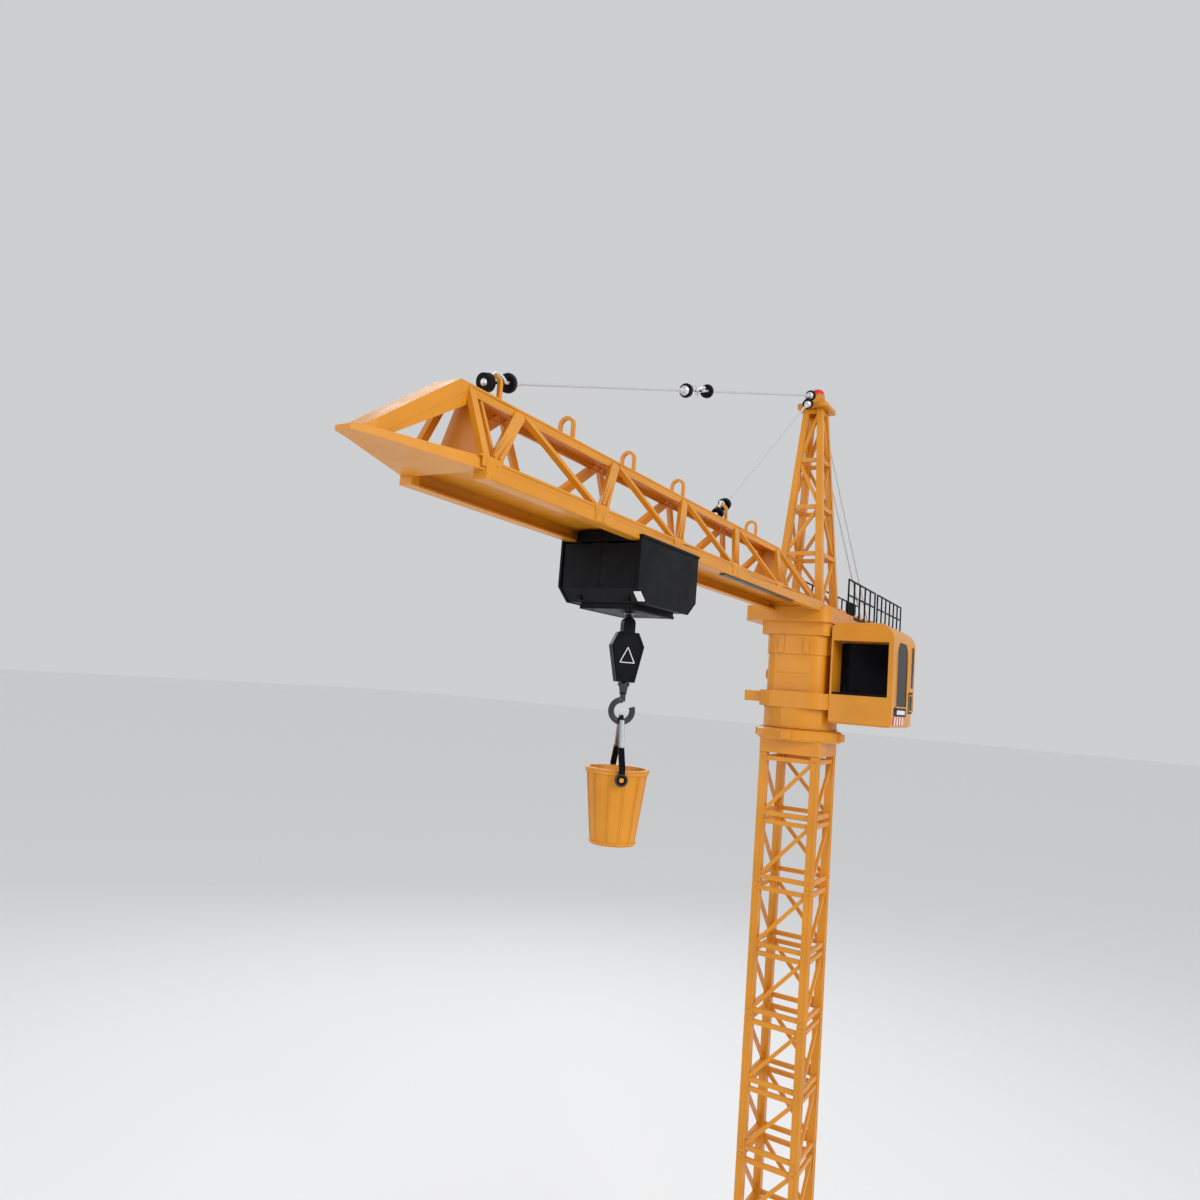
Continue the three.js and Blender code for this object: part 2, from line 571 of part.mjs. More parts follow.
// Bottom of the jib: two chords, a thin floor and an inward-facing rail under each chord.
function bottomChannel(x0, x1) {
  const side = [[28.5, -5], [RAIL_HALF, -5], [RAIL_HALF, -RAIL_DEPTH], [21.5, -RAIL_DEPTH], [21.5, -9.8],
    [26.8, -9.8], [26.8, -2.2]];
  const other = side.map(([y, z]) => [-y, z]).reverse();
  const floor = [[-21.5, 0], [-21.5, -0.8], [21.5, -0.8], [21.5, 0]];
  const points = [[CHORD_HALF, 0], ...side, ...other, [-CHORD_HALF, 0], ...floor];
  return prismX(outline(points.reverse()), x0, x1);
}

function topChord(x0, x1) {
  const lip = TOP_HALF - 2;
  const crown = JIB_HEIGHT - 3;
  const low = JIB_HEIGHT - 6;
  const points = [[-TOP_HALF, low], [-lip, low], [-lip, crown], [lip, crown], [lip, low], [TOP_HALF, low],
    [TOP_HALF, JIB_HEIGHT], [-TOP_HALF, JIB_HEIGHT]];
  return prismX(outline(points), x0, x1);
}

// One strut on each side, between a lower and an upper place along the jib.
function strutPair(lowerX, upperX, width) {
  const aboveFloor = box(JIB_TIP, 0, -RAIL_HALF, RAIL_HALF, -2, JIB_HEIGHT);
  return [-1, 1].map((side) => {
    const lower = [lowerX, side * 26.4, -0.6];
    const upper = [upperX, side * 7.4, JIB_HEIGHT - 3];
    return bar(lower, upper, width, 3.4, [1, 0, 0]).intersect(aboveFloor);
  });
}

function bulkhead(x) {
  return prismX(outline([[-23, -1], [23, -1], [7, JIB_HEIGHT - 3], [-7, JIB_HEIGHT - 3]]), x - 1, x + 1);
}

// Upright eyelet across the top chord, for a tie rod's hook.
function eyelet(x) {
  const shape = new THREE.Shape();
  shape.moveTo(-6, JIB_HEIGHT - 1);
  shape.lineTo(6, JIB_HEIGHT - 1);
  shape.lineTo(6, LOOP_CENTRE);
  shape.absarc(0, LOOP_CENTRE, 6, 0, Math.PI, false);
  const hole = new THREE.Path();
  hole.moveTo(-3.8, JIB_HEIGHT + 1.5);
  hole.lineTo(3.8, JIB_HEIGHT + 1.5);
  hole.lineTo(3.8, LOOP_CENTRE);
  hole.absarc(0, LOOP_CENTRE, 3.8, 0, Math.PI, false);
  shape.holes.push(hole);
  return prismX(shape, x - 1.2, x + 1.2, 6);
}

function eyelets(x0, x1) {
  return LOOPS.filter((x) => x > x0 && x < x1).map(eyelet);
}

function trussPanels(first, last) {
  const struts = [];
  for (let i = first; i <= last; i += 1) {
    struts.push(...strutPair(LOWER_NODES[i] + 4.5, UPPER_NODES[i] - 2, 7));
    struts.push(...strutPair(LOWER_NODES[i + 1] - 4.5, UPPER_NODES[i] + 2.5, 4));
  }
  return struts;
}

// The nose tapers in plan and height from the bulkhead to a flat lip.
function jibNose() {
  const tipX = JIB_TIP;
  const root = RAIL_START + 1;
  const plan = outline([[tipX, -NOSE_HALF], [root, -CHORD_HALF], [root, CHORD_HALF], [tipX, NOSE_HALF]]);
  const opening = outline([[tipX + 14, -5], [root + 1, -22], [root + 1, 22], [tipX + 14, 5]]);
  const side = outline([[tipX, -3.6], [tipX + 9, -3.6], [root, -6.5], [root, 0], [tipX + 6, 0], [tipX, -1]]);
  const wedge = prismZ(plan, -10, 5).intersect(prismY(side, -40, 40));
  const dished = wedge.subtract(prismZ(opening, -2, 5));
  const end = JIB_END + 6;
  const top = JIB_HEIGHT;
  const slope = outline([[tipX + 1, -3], [tipX + 16, -3], [end, top - 8.5], [end, top], [end - 12, top]]);
  const half = TOP_HALF;
  const taper = outline([[tipX, -NOSE_HALF], [tipX + 12, -half], [end + 1, -half], [end + 1, half],
    [tipX + 12, half], [tipX, NOSE_HALF]]);
  const beam = prismY(slope, -TOP_HALF, TOP_HALF).intersect(prismZ(taper, -10, top + 1));
  const pocket = outline([[tipX + 26, -9], [tipX + 30, -2], [end + 2, top - 5.5], [end + 2, top - 16]]);
  return dished.add(beam.subtract(prismY(pocket, -TOP_HALF + 2, TOP_HALF - 2)));
}

function railStops() {
  return [-1, 1].map((side) => {
    const low = Math.min(side * 21, side * RAIL_HALF);
    return box(RAIL_START, RAIL_START + 6, low, low + RAIL_HALF - 21, -RAIL_DEPTH, -0.5);
  });
}

function jibTip() {
  const end = SPLITS[0] - GAP / 2;
  const verticals = strutPair(LOWER_NODES[0] - 3, JIB_END + 3, 5);
  const lattice = [...verticals, ...trussPanels(0, 0)];
  return join([bottomChannel(RAIL_START, end), topChord(JIB_END - 4, end), jibNose(), bulkhead(JIB_END + 12),
    ...lattice, ...railStops(), ...eyelets(JIB_END, end)]);
}

function jibMiddle() {
  const [start, end] = [SPLITS[0] + GAP / 2, SPLITS[1] - GAP / 2];
  const chords = [bottomChannel(start, end), topChord(start, end)];
  return join([...chords, ...trussPanels(1, 2), ...eyelets(start, end)]);
}

function jibRoot() {
  const start = SPLITS[1] + GAP / 2;
  const tongue = box(-42, -FRAME_FOOT[0] - 1, -CHORD_HALF, CHORD_HALF, DECK_TOP + GAP, 0);
  return join([bottomChannel(start, -40.4), tongue, topChord(start, TOP_END), bulkhead(TOP_END - 6),
    ...trussPanels(3, 4), ...eyelets(start, TOP_END)]);
}

function buildJib() {
  piece('jib_tip', 'yellow', jibTip());
  piece('jib_middle', 'yellow', jibMiddle());
  piece('jib_root', 'yellow', jibRoot());
  const strip = box(-300, -128, -RAIL_HALF + 0.5, -24, -RAIL_DEPTH - 1.3, -RAIL_DEPTH - GAP);
  piece('contact_strip', 'iron', strip);
}

// ---------------------------------------------------------------- ties
const EYE_LEVEL = JIB_HEIGHT + 11.4; // where a clip's bar passes through an eyelet
const TIE_RADIUS = 1.1;
const DISC_HALF = 2;
const SEAT = DISC_HALF + 0.4; // from the middle of a clip's disc to the end of the rod
const TIP_DISCS = [-6.8, 13.2]; // the tip clip's discs, measured from its eyelet along the tie
const LOW_DISCS = [-9.4, 9.2];
const LINK_DISCS = [-20, 20];
const LINK_SHARE = 0.47; // where the two halves of the long tie are linked
const HEAD_LEVELS = [FRAME_TOP + 1, FRAME_TOP + 10]; // lower and upper clip on the cap
const LONG_TIE = { low: [LOOPS[0], 0, EYE_LEVEL], high: [HEAD_CLIP_X, -1.6, HEAD_LEVELS[1]] };
const SHORT_TIE = { low: [LOOPS[4], 0, EYE_LEVEL], high: [HEAD_CLIP_X, 1.6, HEAD_LEVELS[0]] };
const REAR_TIE = { high: [17, FRAME_TOP - 6], low: [262, 6] };
const REAR_HALF = 4; // half the distance between the two rear wires

// Place on a tie, by its distance from the lower end or from the upper end.
function along(tie, distance, fromHigh = false) {
  const low = new THREE.Vector3(...tie.low);
  const high = new THREE.Vector3(...tie.high);
  const way = high.clone().sub(low).normalize();
  const point = fromHigh ? high.addScaledVector(way, -distance) : low.addScaledVector(way, distance);
  return point.toArray();
}

function tieDisc(tie, place) {
  return rod(along(tie, place - DISC_HALF), along(tie, place + DISC_HALF), CLIP_RADIUS, 20);
}

// Clip of two round discs square to the tie, with a bar between them.
function clip(tie, middle, discs) {
  const [first, last] = discs.map((offset) => middle + offset);
  const bridge = rod(along(tie, first), along(tie, last), 0.9, 10);
  return join([tieDisc(tie, first), tieDisc(tie, last), bridge]);
}

// The two ties' upper clips, one above the other on a stub that stands off the cap.
function headClip() {
  const discs = [LONG_TIE, SHORT_TIE].map((tie) => {
    return rod(along(tie, DISC_HALF, true), along(tie, -DISC_HALF, true), CLIP_RADIUS, 20);
  });
  const web = box(HEAD_CLIP_X - 1.5, HEAD_CLIP_X + 1.5, -2.5, 2.5, ...HEAD_LEVELS);
  const stub = box(HEAD_CLIP_X, CAP_LUG_X - GAP, -2.5, 2.5, FRAME_TOP + 3.5, FRAME_TOP + 8);
  return join([...discs, web, stub]);
}

function rearTie() {
  const [[highX, highZ], [lowX, lowZ]] = [REAR_TIE.high, REAR_TIE.low];
  const wires = [-REAR_HALF, REAR_HALF].map((y) => rod([highX, y, highZ], [lowX, y, lowZ], 0.9, 8));
  const ends = [REAR_TIE.high, REAR_TIE.low].map(([x, z]) => {
    return rod([x, -REAR_HALF - 0.5, z], [x, REAR_HALF + 0.5, z], 1.2, 8);
  });
  return join([...wires, ...ends]);
}

function buildTies() {
  const [low, high] = [LONG_TIE.low, LONG_TIE.high].map((point) => new THREE.Vector3(...point));
  const middle = LINK_SHARE * low.distanceTo(high);
  piece('tie_clip_tip', 'black', clip(LONG_TIE, 0, TIP_DISCS));
  piece('tie_clip_low', 'black', clip(SHORT_TIE, 0, LOW_DISCS));
  piece('tie_clip_middle', 'black', clip(LONG_TIE, middle, LINK_DISCS));
  piece('tie_clip_head', 'black', headClip());
  const outer = [along(LONG_TIE, TIP_DISCS[1] + SEAT), along(LONG_TIE, middle + LINK_DISCS[0] - SEAT)];
  piece('tie_rod_outer', 'steel', rod(...outer, TIE_RADIUS));
  const inner = [along(LONG_TIE, middle + LINK_DISCS[1] + SEAT), along(LONG_TIE, SEAT, true)];
  piece('tie_rod_inner', 'steel', rod(...inner, TIE_RADIUS));
  const short = [along(SHORT_TIE, LOW_DISCS[1] + SEAT), along(SHORT_TIE, SEAT, true)];
  piece('tie_rod_short', 'steel', rod(...short, TIE_RADIUS));
  piece('tie_rod_rear', 'iron', rearTie());
}

// ---------------------------------------------------------------- counter-jib
const BOX_START = 266;
const BOX_END = 336;
const RAILING_BAR = 1.7;

function counterJib() {
  const points = [[-CHORD_HALF, -10], [-24, -10], [-24, -2.4], [24, -2.4], [24, -10], [CHORD_HALF, -10],
    [CHORD_HALF, 0], [-CHORD_HALF, 0]];
  const beam = prismX(outline(points), 60.4, COUNTER_END);
  const tongue = box(FRAME_FOOT[0] + 1, 61, -CHORD_HALF, CHORD_HALF, DECK_TOP + GAP, 0);
  const ribPlaces = Array.from({ length: 7 }, (_, i) => 62 + i * 47.5);
  const ribs = ribPlaces.map((x) => box(x - 1, x + 1, -25, 25, -9, -1));
  const lugX = REAR_TIE.low[0];
  const lugs = [-8, 8].map((y) => box(lugX - 5, lugX + 5, y - 1.5, y + 1.5, -1, 10));
  const tail = box(COUNTER_END - 3, COUNTER_END, -CHORD_HALF, CHORD_HALF, -10, 0);
  return join([beam, tongue, tail, ...ribs, ...lugs]);
}

function railing(side) {
  const inner = side * (CHORD_HALF + GAP);
  const outer = side * (CHORD_HALF + GAP + RAILING_BAR);
  const [y0, y1] = [Math.min(inner, outer), Math.max(inner, outer)];
  const bars = [box(62, 344, y0, y1, -6, -3.5)];
  for (const [start, end, posts] of [[62, 190, 6], [202, 344, 7]]) {
    bars.push(box(start, end, y0, y1, 39 - RAILING_BAR, 39));
    bars.push(box(start, end, y0, y1, 19, 19 + RAILING_BAR));
    for (let i = 0; i < posts; i += 1) {
      const x = start + (i * (end - RAILING_BAR - start)) / (posts - 1);
      bars.push(box(x, x + RAILING_BAR, y0, y1, -6, 39));
    }
  }
  return join(bars);
}

function counterweightBox() {
  const outer = prismY(roundedRect(BOX_START, BOX_END, -74, -10 - GAP, [6, 6, 1, 1]), -28, 28);
  return outer.subtract(box(BOX_START + 2.4, BOX_END - 2.4, -25.6, 25.6, -71.6, -5));
}

function buildCounterJib() {
  piece('counter_jib', 'yellow', counterJib());
  piece('railing_near', 'black', railing(-1));
  piece('railing_far', 'black', railing(1));
  piece('counterweight_box', 'black', counterweightBox());
  const ballast = box(BOX_START + 3, BOX_END - 3, -25, 25, -71.2, -71.2 + BALLAST_HEIGHT);
  piece('counterweight_ballast', 'iron', ballast);
}

// ---------------------------------------------------------------- trolley
const TROLLEY_HALF = 43;
const TROLLEY_TOP = -13;
const TROLLEY_BOTTOM = -52;
const WHEEL_RADIUS = 3.5;
const AXLE_LEVEL = -6.2;
const DRUM_LEVEL = -32;
const AXLE_OFFSET = 32;

function chamfered(half, low, high, chamferX, chamferZ) {
  const [x0, x1] = [TROLLEY_X - half, TROLLEY_X + half];
  const shoulder = low + chamferZ;
  const bottom = [[x0 + chamferX, low], [x1 - chamferX, low]];
  return outline([...bottom, [x1, shoulder], [x1, high], [x0, high], [x0, shoulder]]);
}

function trolleyHousing() {
  const shell = prismY(chamfered(TROLLEY_HALF, TROLLEY_BOTTOM, TROLLEY_TOP, 11, 8.5), -29.6, 29.6);
  const room = prismY(chamfered(TROLLEY_HALF - 2, TROLLEY_BOTTOM + 2, 0, 10.5, 8), -27.6, 27.6);
  const tray = box(TROLLEY_X - 30, TROLLEY_X + 30, -21, 21, TROLLEY_BOTTOM - 3.5, TROLLEY_BOTTOM + 1);
  const brackets = [];
  const holes = [rod([CORD_X, 0, TROLLEY_BOTTOM - 5], [CORD_X, 0, TROLLEY_BOTTOM + 4], 2.5)];
  for (const way of [-1, 1]) {
    const x = TROLLEY_X + way * AXLE_OFFSET;
    for (const y of [-19, 19]) {
      brackets.push(box(x - 5, x + 5, y - 1.5, y + 1.5, TROLLEY_BOTTOM + 1, AXLE_LEVEL + 3));
    }
    holes.push(rod([x, -30, AXLE_LEVEL], [x, 30, AXLE_LEVEL], 1.3));
  }
  return cut(join([cut(shell, [room]), tray, ...brackets]), holes);
}

function trolleyPlate(side) {
  const [y0, y1] = side < 0 ? [-31.6, -29.9] : [29.9, 31.6];
  const plate = prismY(chamfered(TROLLEY_HALF + 1.5, TROLLEY_BOTTOM - 0.5, -8, 12, 9.5), y0, y1);
  const half = TROLLEY_HALF + 1.5;
  const overhang = side * 0.9;
  const [lipStart, lipEnd] = [Math.min(y0, y0 + overhang), Math.max(y1, y1 + overhang)];
  const lip = box(TROLLEY_X - half, TROLLEY_X + half, lipStart, lipEnd, -9.4, -7.6);
  return plate.add(lip);
}

function trolleyAxle(way) {
  const x = TROLLEY_X + way * AXLE_OFFSET;
  const shaft = rod([x, -23, AXLE_LEVEL], [x, 23, AXLE_LEVEL], 1, 10);
  const wheels = [-1, 1].map((side) => {
    return rod([x, side * 22.2, AXLE_LEVEL], [x, side * 26.2, AXLE_LEVEL], WHEEL_RADIUS, 20);
  });
  return join([shaft, ...wheels]);
}

function winchDrum() {
  const parts = [rod([DRUM_X, -27.2, DRUM_LEVEL], [DRUM_X, 27.2, DRUM_LEVEL], 2),
    rod([DRUM_X, -14, DRUM_LEVEL], [DRUM_X, 14, DRUM_LEVEL], DRUM_RADIUS - CORD_RADIUS - GAP, 24)];
  for (const side of [-1, 1]) {
    parts.push(rod([DRUM_X, side * 14, DRUM_LEVEL], [DRUM_X, side * 16, DRUM_LEVEL], 12.5, 24));
  }
  return join(parts);
}

function buildTrolley() {
  piece('trolley_housing', 'black', trolleyHousing());
  piece('trolley_plate_near', 'black', trolleyPlate(-1));
  piece('trolley_plate_far', 'black', trolleyPlate(1));
  piece('trolley_axle_outer', 'steel', trolleyAxle(-1));
  piece('trolley_axle_inner', 'steel', trolleyAxle(1));
  piece('winch_drum', 'white', winchDrum());
  piece('winch_motor', 'steel', rod([TROLLEY_X + 24, -14, -36], [TROLLEY_X + 24, 14, -36], 8, 20));
  piece('travel_motor', 'steel', rod([TROLLEY_X - 30, -14, -36], [TROLLEY_X - 30, 14, -36], 8, 20));
}

// ---------------------------------------------------------------- hoist
const BLOCK_TOP = -58.5;
const BLOCK_SHOULDER = -69.3;
const BLOCK_BOTTOM = -104.6;
const BLOCK_HALF = 5; // half thickness
const EAR_RADIUS = 4.3;
const HOOK_HEAD = [-100.8, -96.6]; // head of the hook's stem, held in the block
const BOWL_CENTRE = -124.9;
const BOWL_RADIUS = 7.7;
const HOOK_WIRE = 2.2;
const BLOCK_TURN = 43.6; // how far the block and hook hang turned about the cord, in degrees
const BAIL_WIRE = 1.2;
const BAIL_TOP = BOWL_CENTRE - BOWL_RADIUS + HOOK_WIRE + BAIL_WIRE + 2 * GAP;
const BUCKET_RIM = -164.5;
const BUCKET_BOTTOM = -216.5;
const TRUNNION_LEVEL = -170.5;
const RIM_RADIUS = 22.3;
const BAIL_REACH = 25;
const BAIL_WAIST = -150; // where the bail's wire becomes a flat strap

// Turns a solid made in the Y-Z plane about the cord and moves it there.
function hung(solid) {
  return solid.rotate([0, 0, BLOCK_TURN]).translate([CORD_X, 0, 0]);
}

// Half of the hook block: shield-shaped with a rounded ear on top.
function blockHalf(x0, x1) {
  const shape = new THREE.Shape();
  shape.moveTo(-6.6, BLOCK_BOTTOM);
  shape.lineTo(6.6, BLOCK_BOTTOM);
  shape.lineTo(11.8, -79);
  shape.lineTo(7.4, BLOCK_SHOULDER);
  shape.lineTo(EAR_RADIUS, BLOCK_SHOULDER);
  shape.lineTo(EAR_RADIUS, BLOCK_TOP - EAR_RADIUS);
  shape.absarc(0, BLOCK_TOP - EAR_RADIUS, EAR_RADIUS, 0, Math.PI, false);
  shape.lineTo(-EAR_RADIUS, BLOCK_SHOULDER);
  shape.lineTo(-7.4, BLOCK_SHOULDER);
  shape.lineTo(-11.8, -79);
  const stem = rod([0, 0, BLOCK_BOTTOM - 1], [0, 0, HOOK_HEAD[1]], 2.6);
  const head = rod([0, 0, HOOK_HEAD[0] - GAP], [0, 0, HOOK_HEAD[1] + GAP], 4.1);
  return hung(cut(prismX(shape, x0, x1, 6), [stem, head]));
}

function hookSolid() {
  const steps = 22;
  const start = Math.PI / 2;
  const sweep = THREE.MathUtils.degToRad(-295);
  const points = [];
  for (let i = 0; i <= steps; i += 1) {
    const angle = start + (sweep * i) / steps;
    const [across, up] = [BOWL_RADIUS * Math.cos(angle), BOWL_RADIUS * Math.sin(angle)];
    points.push(new THREE.Vector3(0, across, BOWL_CENTRE + up));
  }
  const stem = rod([0, 0, BOWL_CENTRE + BOWL_RADIUS - 1], [0, 0, HOOK_HEAD[0] + 1], 2.1);
  const head = rod([0, 0, HOOK_HEAD[0]], [0, 0, HOOK_HEAD[1]], 3.7);
  return hung(join([sweepAlong(points, HOOK_WIRE, 24), stem, head]));
}

function sweepAlong(points, radius, steps) {
  const section = new THREE.Shape();
  section.absarc(0, 0, radius, 0, 2 * Math.PI, false);
  const extrudePath = new THREE.CatmullRomCurve3(points);
  return toSolid(new THREE.ExtrudeGeometry(section, { steps, extrudePath, curveSegments: 4 }));
}

// Point on the bail's plane: a distance along its axis and a height.
function onBail(distance, z) {
  return [CORD_X - distance * Math.cos(BAIL_TURN), -distance * Math.sin(BAIL_TURN), z];
}

function bailSolid() {
  const across = [Math.sin(BAIL_TURN), -Math.cos(BAIL_TURN), 0];
  const parts = [rod(onBail(-4.4, BAIL_TOP), onBail(4.4, BAIL_TOP), BAIL_WIRE, 10)];
  const pins = [];
  for (const side of [-1, 1]) {
    const reach = side * BAIL_REACH;
    const bend = onBail(reach, TRUNNION_LEVEL + 7.5);
    parts.push(rod(onBail(side * 4, BAIL_TOP + 0.4), onBail(side * 12.6, BAIL_WAIST - 1), 1.3, 10));
    parts.push(bar(onBail(side * 12, BAIL_WAIST), bend, 4.2, 1.8, across));
    parts.push(bar(onBail(reach, TRUNNION_LEVEL + 8.5), onBail(reach, TRUNNION_LEVEL), 4.2, 1.8, across));
    parts.push(rod(onBail(reach - 0.9, TRUNNION_LEVEL), onBail(reach + 0.9, TRUNNION_LEVEL), 3.6, 16));
    pins.push(rod(onBail(reach - 4, TRUNNION_LEVEL), onBail(reach + 4, TRUNNION_LEVEL), 2, 12));
  }
  return cut(join(parts), pins);
}

function bucketSolid() {
  const [low, rim] = [BUCKET_BOTTOM, BUCKET_RIM];
  const outside = [[0, low], [15.6, low], [21.2, rim - 4], [RIM_RADIUS, rim - 3.4], [RIM_RADIUS, rim]];
  const wall = [...outside, [20.2, rim], [14.4, low + 2], [0, low + 2]];
  const space = [[0, low + 2.1], [14.4, low + 2.1], [20.15, rim + 1], [0, rim + 1]];
  const inside = turned(space, 32, CORD_X);
  const parts = [turned(wall, 32, CORD_X)];
  for (const side of [-1, 1]) {
    const outer = side * (BAIL_REACH + 1.5);
    const wallSide = onBail(side * 19.4, TRUNNION_LEVEL);
    const seat = rod(wallSide, onBail(side * (BAIL_REACH - 1.3), TRUNNION_LEVEL), 3.6, 14);
    const pin = rod(wallSide, onBail(outer, TRUNNION_LEVEL), 1.6, 12);
    parts.push(seat.subtract(inside), pin.subtract(inside));
  }
  return join(parts);
}

function buildHoist() {
  piece('hoist_cord', 'black', rod([CORD_X, 0, BLOCK_TOP + GAP], [CORD_X, 0, DRUM_LEVEL], CORD_RADIUS, 8));
  piece('block_shell_outer', 'black', blockHalf(-BLOCK_HALF, -GAP / 2));
  piece('block_shell_inner', 'black', blockHalf(GAP / 2, BLOCK_HALF));
  piece('hook', 'iron', hookSolid());
  piece('bail', 'black', bailSolid());
  piece('bucket', 'yellow', bucketSolid());
}

buildBase();
buildMast();
buildTurret();
buildCab();
buildFrame();
buildJib();
buildTies();
buildCounterJib();
buildTrolley();
buildHoist();

export default crane;
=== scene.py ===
import json
import math

import bmesh
import bpy
from mathutils import Matrix, Vector


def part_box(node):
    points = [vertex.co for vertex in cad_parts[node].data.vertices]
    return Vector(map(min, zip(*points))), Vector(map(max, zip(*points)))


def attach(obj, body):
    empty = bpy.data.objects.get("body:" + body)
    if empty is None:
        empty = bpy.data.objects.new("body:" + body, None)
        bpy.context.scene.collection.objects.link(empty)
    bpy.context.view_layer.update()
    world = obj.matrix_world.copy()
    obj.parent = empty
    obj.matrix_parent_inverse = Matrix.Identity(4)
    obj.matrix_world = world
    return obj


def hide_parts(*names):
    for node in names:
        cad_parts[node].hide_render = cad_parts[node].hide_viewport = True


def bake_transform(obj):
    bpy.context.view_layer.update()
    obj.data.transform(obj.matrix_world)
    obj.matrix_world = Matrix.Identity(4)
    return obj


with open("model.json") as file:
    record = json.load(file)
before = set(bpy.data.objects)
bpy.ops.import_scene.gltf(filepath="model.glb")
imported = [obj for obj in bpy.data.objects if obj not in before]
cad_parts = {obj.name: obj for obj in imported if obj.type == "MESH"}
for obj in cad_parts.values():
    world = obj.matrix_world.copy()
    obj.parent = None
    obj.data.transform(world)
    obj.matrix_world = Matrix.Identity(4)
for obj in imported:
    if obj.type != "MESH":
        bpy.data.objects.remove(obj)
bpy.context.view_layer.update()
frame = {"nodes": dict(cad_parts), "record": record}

MM = 0.001

# ---------------------------------------------------------------- places taken from the frame
HEAD_LOW, HEAD_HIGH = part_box("mast_head")
MAST = Vector(((HEAD_LOW[0] + HEAD_HIGH[0]) / 2, 0, 0))  # the mast's axis
JIB_LOW, JIB_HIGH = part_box("jib_root")
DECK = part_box("turret_deck")[1][2] + 6 * MM  # top of the jib's bottom chords


def crane(x, y, z):
    """A place in millimetres from the mast's axis and the level of the jib's bottom chords."""
    return Vector((MAST.x + x * MM, y * MM, DECK + z * MM))


# ---------------------------------------------------------------- camera
CAMERA_PLACE = (-928.0, -298.9, -109.4)
CAMERA_YAW = math.radians(58.47)
CAMERA_PITCH = math.radians(5.82)
CAMERA_ROLL = math.radians(4.5)
CAMERA_LENS = 25.54


def make_camera():
    data = bpy.data.cameras.new("camera")
    data.lens = CAMERA_LENS
    data.sensor_width = 36.0
    data.clip_start = 0.01
    data.clip_end = 200.0
    camera = bpy.data.objects.new("camera", data)
    bpy.context.scene.collection.objects.link(camera)
    cos_pitch = math.cos(CAMERA_PITCH)
    sin_yaw, cos_yaw = math.sin(CAMERA_YAW), math.cos(CAMERA_YAW)
    forward = Vector((sin_yaw * cos_pitch, cos_yaw * cos_pitch, math.sin(CAMERA_PITCH)))
    level = Vector((cos_yaw, -sin_yaw, 0))
    upright = level.cross(forward)
    right = level * math.cos(CAMERA_ROLL) + upright * math.sin(CAMERA_ROLL)
    up = upright * math.cos(CAMERA_ROLL) - level * math.sin(CAMERA_ROLL)
    turn = Matrix((right, up, -forward)).transposed().to_4x4()
    camera.matrix_world = Matrix.Translation(crane(*CAMERA_PLACE)) @ turn
    bpy.context.scene.camera = camera


# ---------------------------------------------------------------- light and floor
FLOOR_HALF = 30.0  # metres
WORLD_STRENGTH = 0.66
LIGHTS = (("key", (-1100, -1900, 900), 1.2, 27), ("fill", (-2100, 900, 250), 1.4, 7),
          ("rim", (1300, 1500, 1000), 1.5, 16))  # name, place in crane millimetres, side in metres, watts


def area_light(name, place, target, size, power):
    data = bpy.data.lights.new(name, "AREA")
    data.shape = "RECTANGLE"
    data.size = data.size_y = size
    data.energy = power
    light = bpy.data.objects.new(name, data)
    bpy.context.scene.collection.objects.link(light)
    light.location = place
    light.rotation_euler = (Vector(target) - Vector(place)).to_track_quat("-Z", "Y").to_euler()


def make_studio():
    world = bpy.data.worlds.new("studio")
    world.use_nodes = True
    background = world.node_tree.nodes["Background"]
    background.inputs["Color"].default_value = (0.93, 0.94, 0.96, 1)
    background.inputs["Strength"].default_value = WORLD_STRENGTH
    bpy.context.scene.world = world
    bpy.context.scene.view_settings.view_transform = "Standard"
    target = crane(-150, 0, -60)
    for name, place, size, power in LIGHTS:
        area_light(name, crane(*place), target, size, power)
    mesh = bpy.data.meshes.new("floor")
    corners = [(x * FLOOR_HALF, y * FLOOR_HALF, 0) for x, y in ((-1, -1), (1, -1), (1, 1), (-1, 1))]
    mesh.from_pydata(corners, [], [(0, 1, 2, 3)])
    floor = bpy.data.objects.new("floor", mesh)
    bpy.context.scene.collection.objects.link(floor)
    material = bpy.data.materials.new("floor")
    material.use_nodes = True
    shader = material.node_tree.nodes["Principled BSDF"]
    shader.inputs["Base Color"].default_value = (0.93, 0.93, 0.93, 1)
    shader.inputs["Roughness"].default_value = 0.9
    shader.inputs["Specular IOR Level"].default_value = 0.1
    mesh.materials.append(material)


# ---------------------------------------------------------------- materials
def texture_place(tree, stretch=(1, 1, 1)):
    """Object coordinates in metres, stretched for streaks."""
    place = tree.nodes.new("ShaderNodeTexCoord")
    mapping = tree.nodes.new("ShaderNodeMapping")
    mapping.inputs["Scale"].default_value = stretch
    tree.links.new(place.outputs["Object"], mapping.inputs["Vector"])
    return mapping.outputs["Vector"]


def noise(tree, place, scale, detail=3.0, roughness=0.5):
    node = tree.nodes.new("ShaderNodeTexNoise")
    node.inputs["Scale"].default_value = scale
    node.inputs["Detail"].default_value = detail
    node.inputs["Roughness"].default_value = roughness
    tree.links.new(place, node.inputs["Vector"])
    return node.outputs["Fac"]


def remap(tree, value, low, high, from_low=0.3, from_high=0.7):
    node = tree.nodes.new("ShaderNodeMapRange")
    node.inputs["From Min"].default_value = from_low
    node.inputs["From Max"].default_value = from_high
    node.inputs["To Min"].default_value = low
    node.inputs["To Max"].default_value = high
    tree.links.new(value, node.inputs["Value"])
    return node.outputs["Result"]


def blend_colour(tree, share, dark, light):
    node = tree.nodes.new("ShaderNodeMix")
    node.data_type = "RGBA"
    tree.links.new(share, node.inputs["Factor"])
    node.inputs["A"].default_value = (*dark, 1)
    node.inputs["B"].default_value = (*light, 1)
    return node


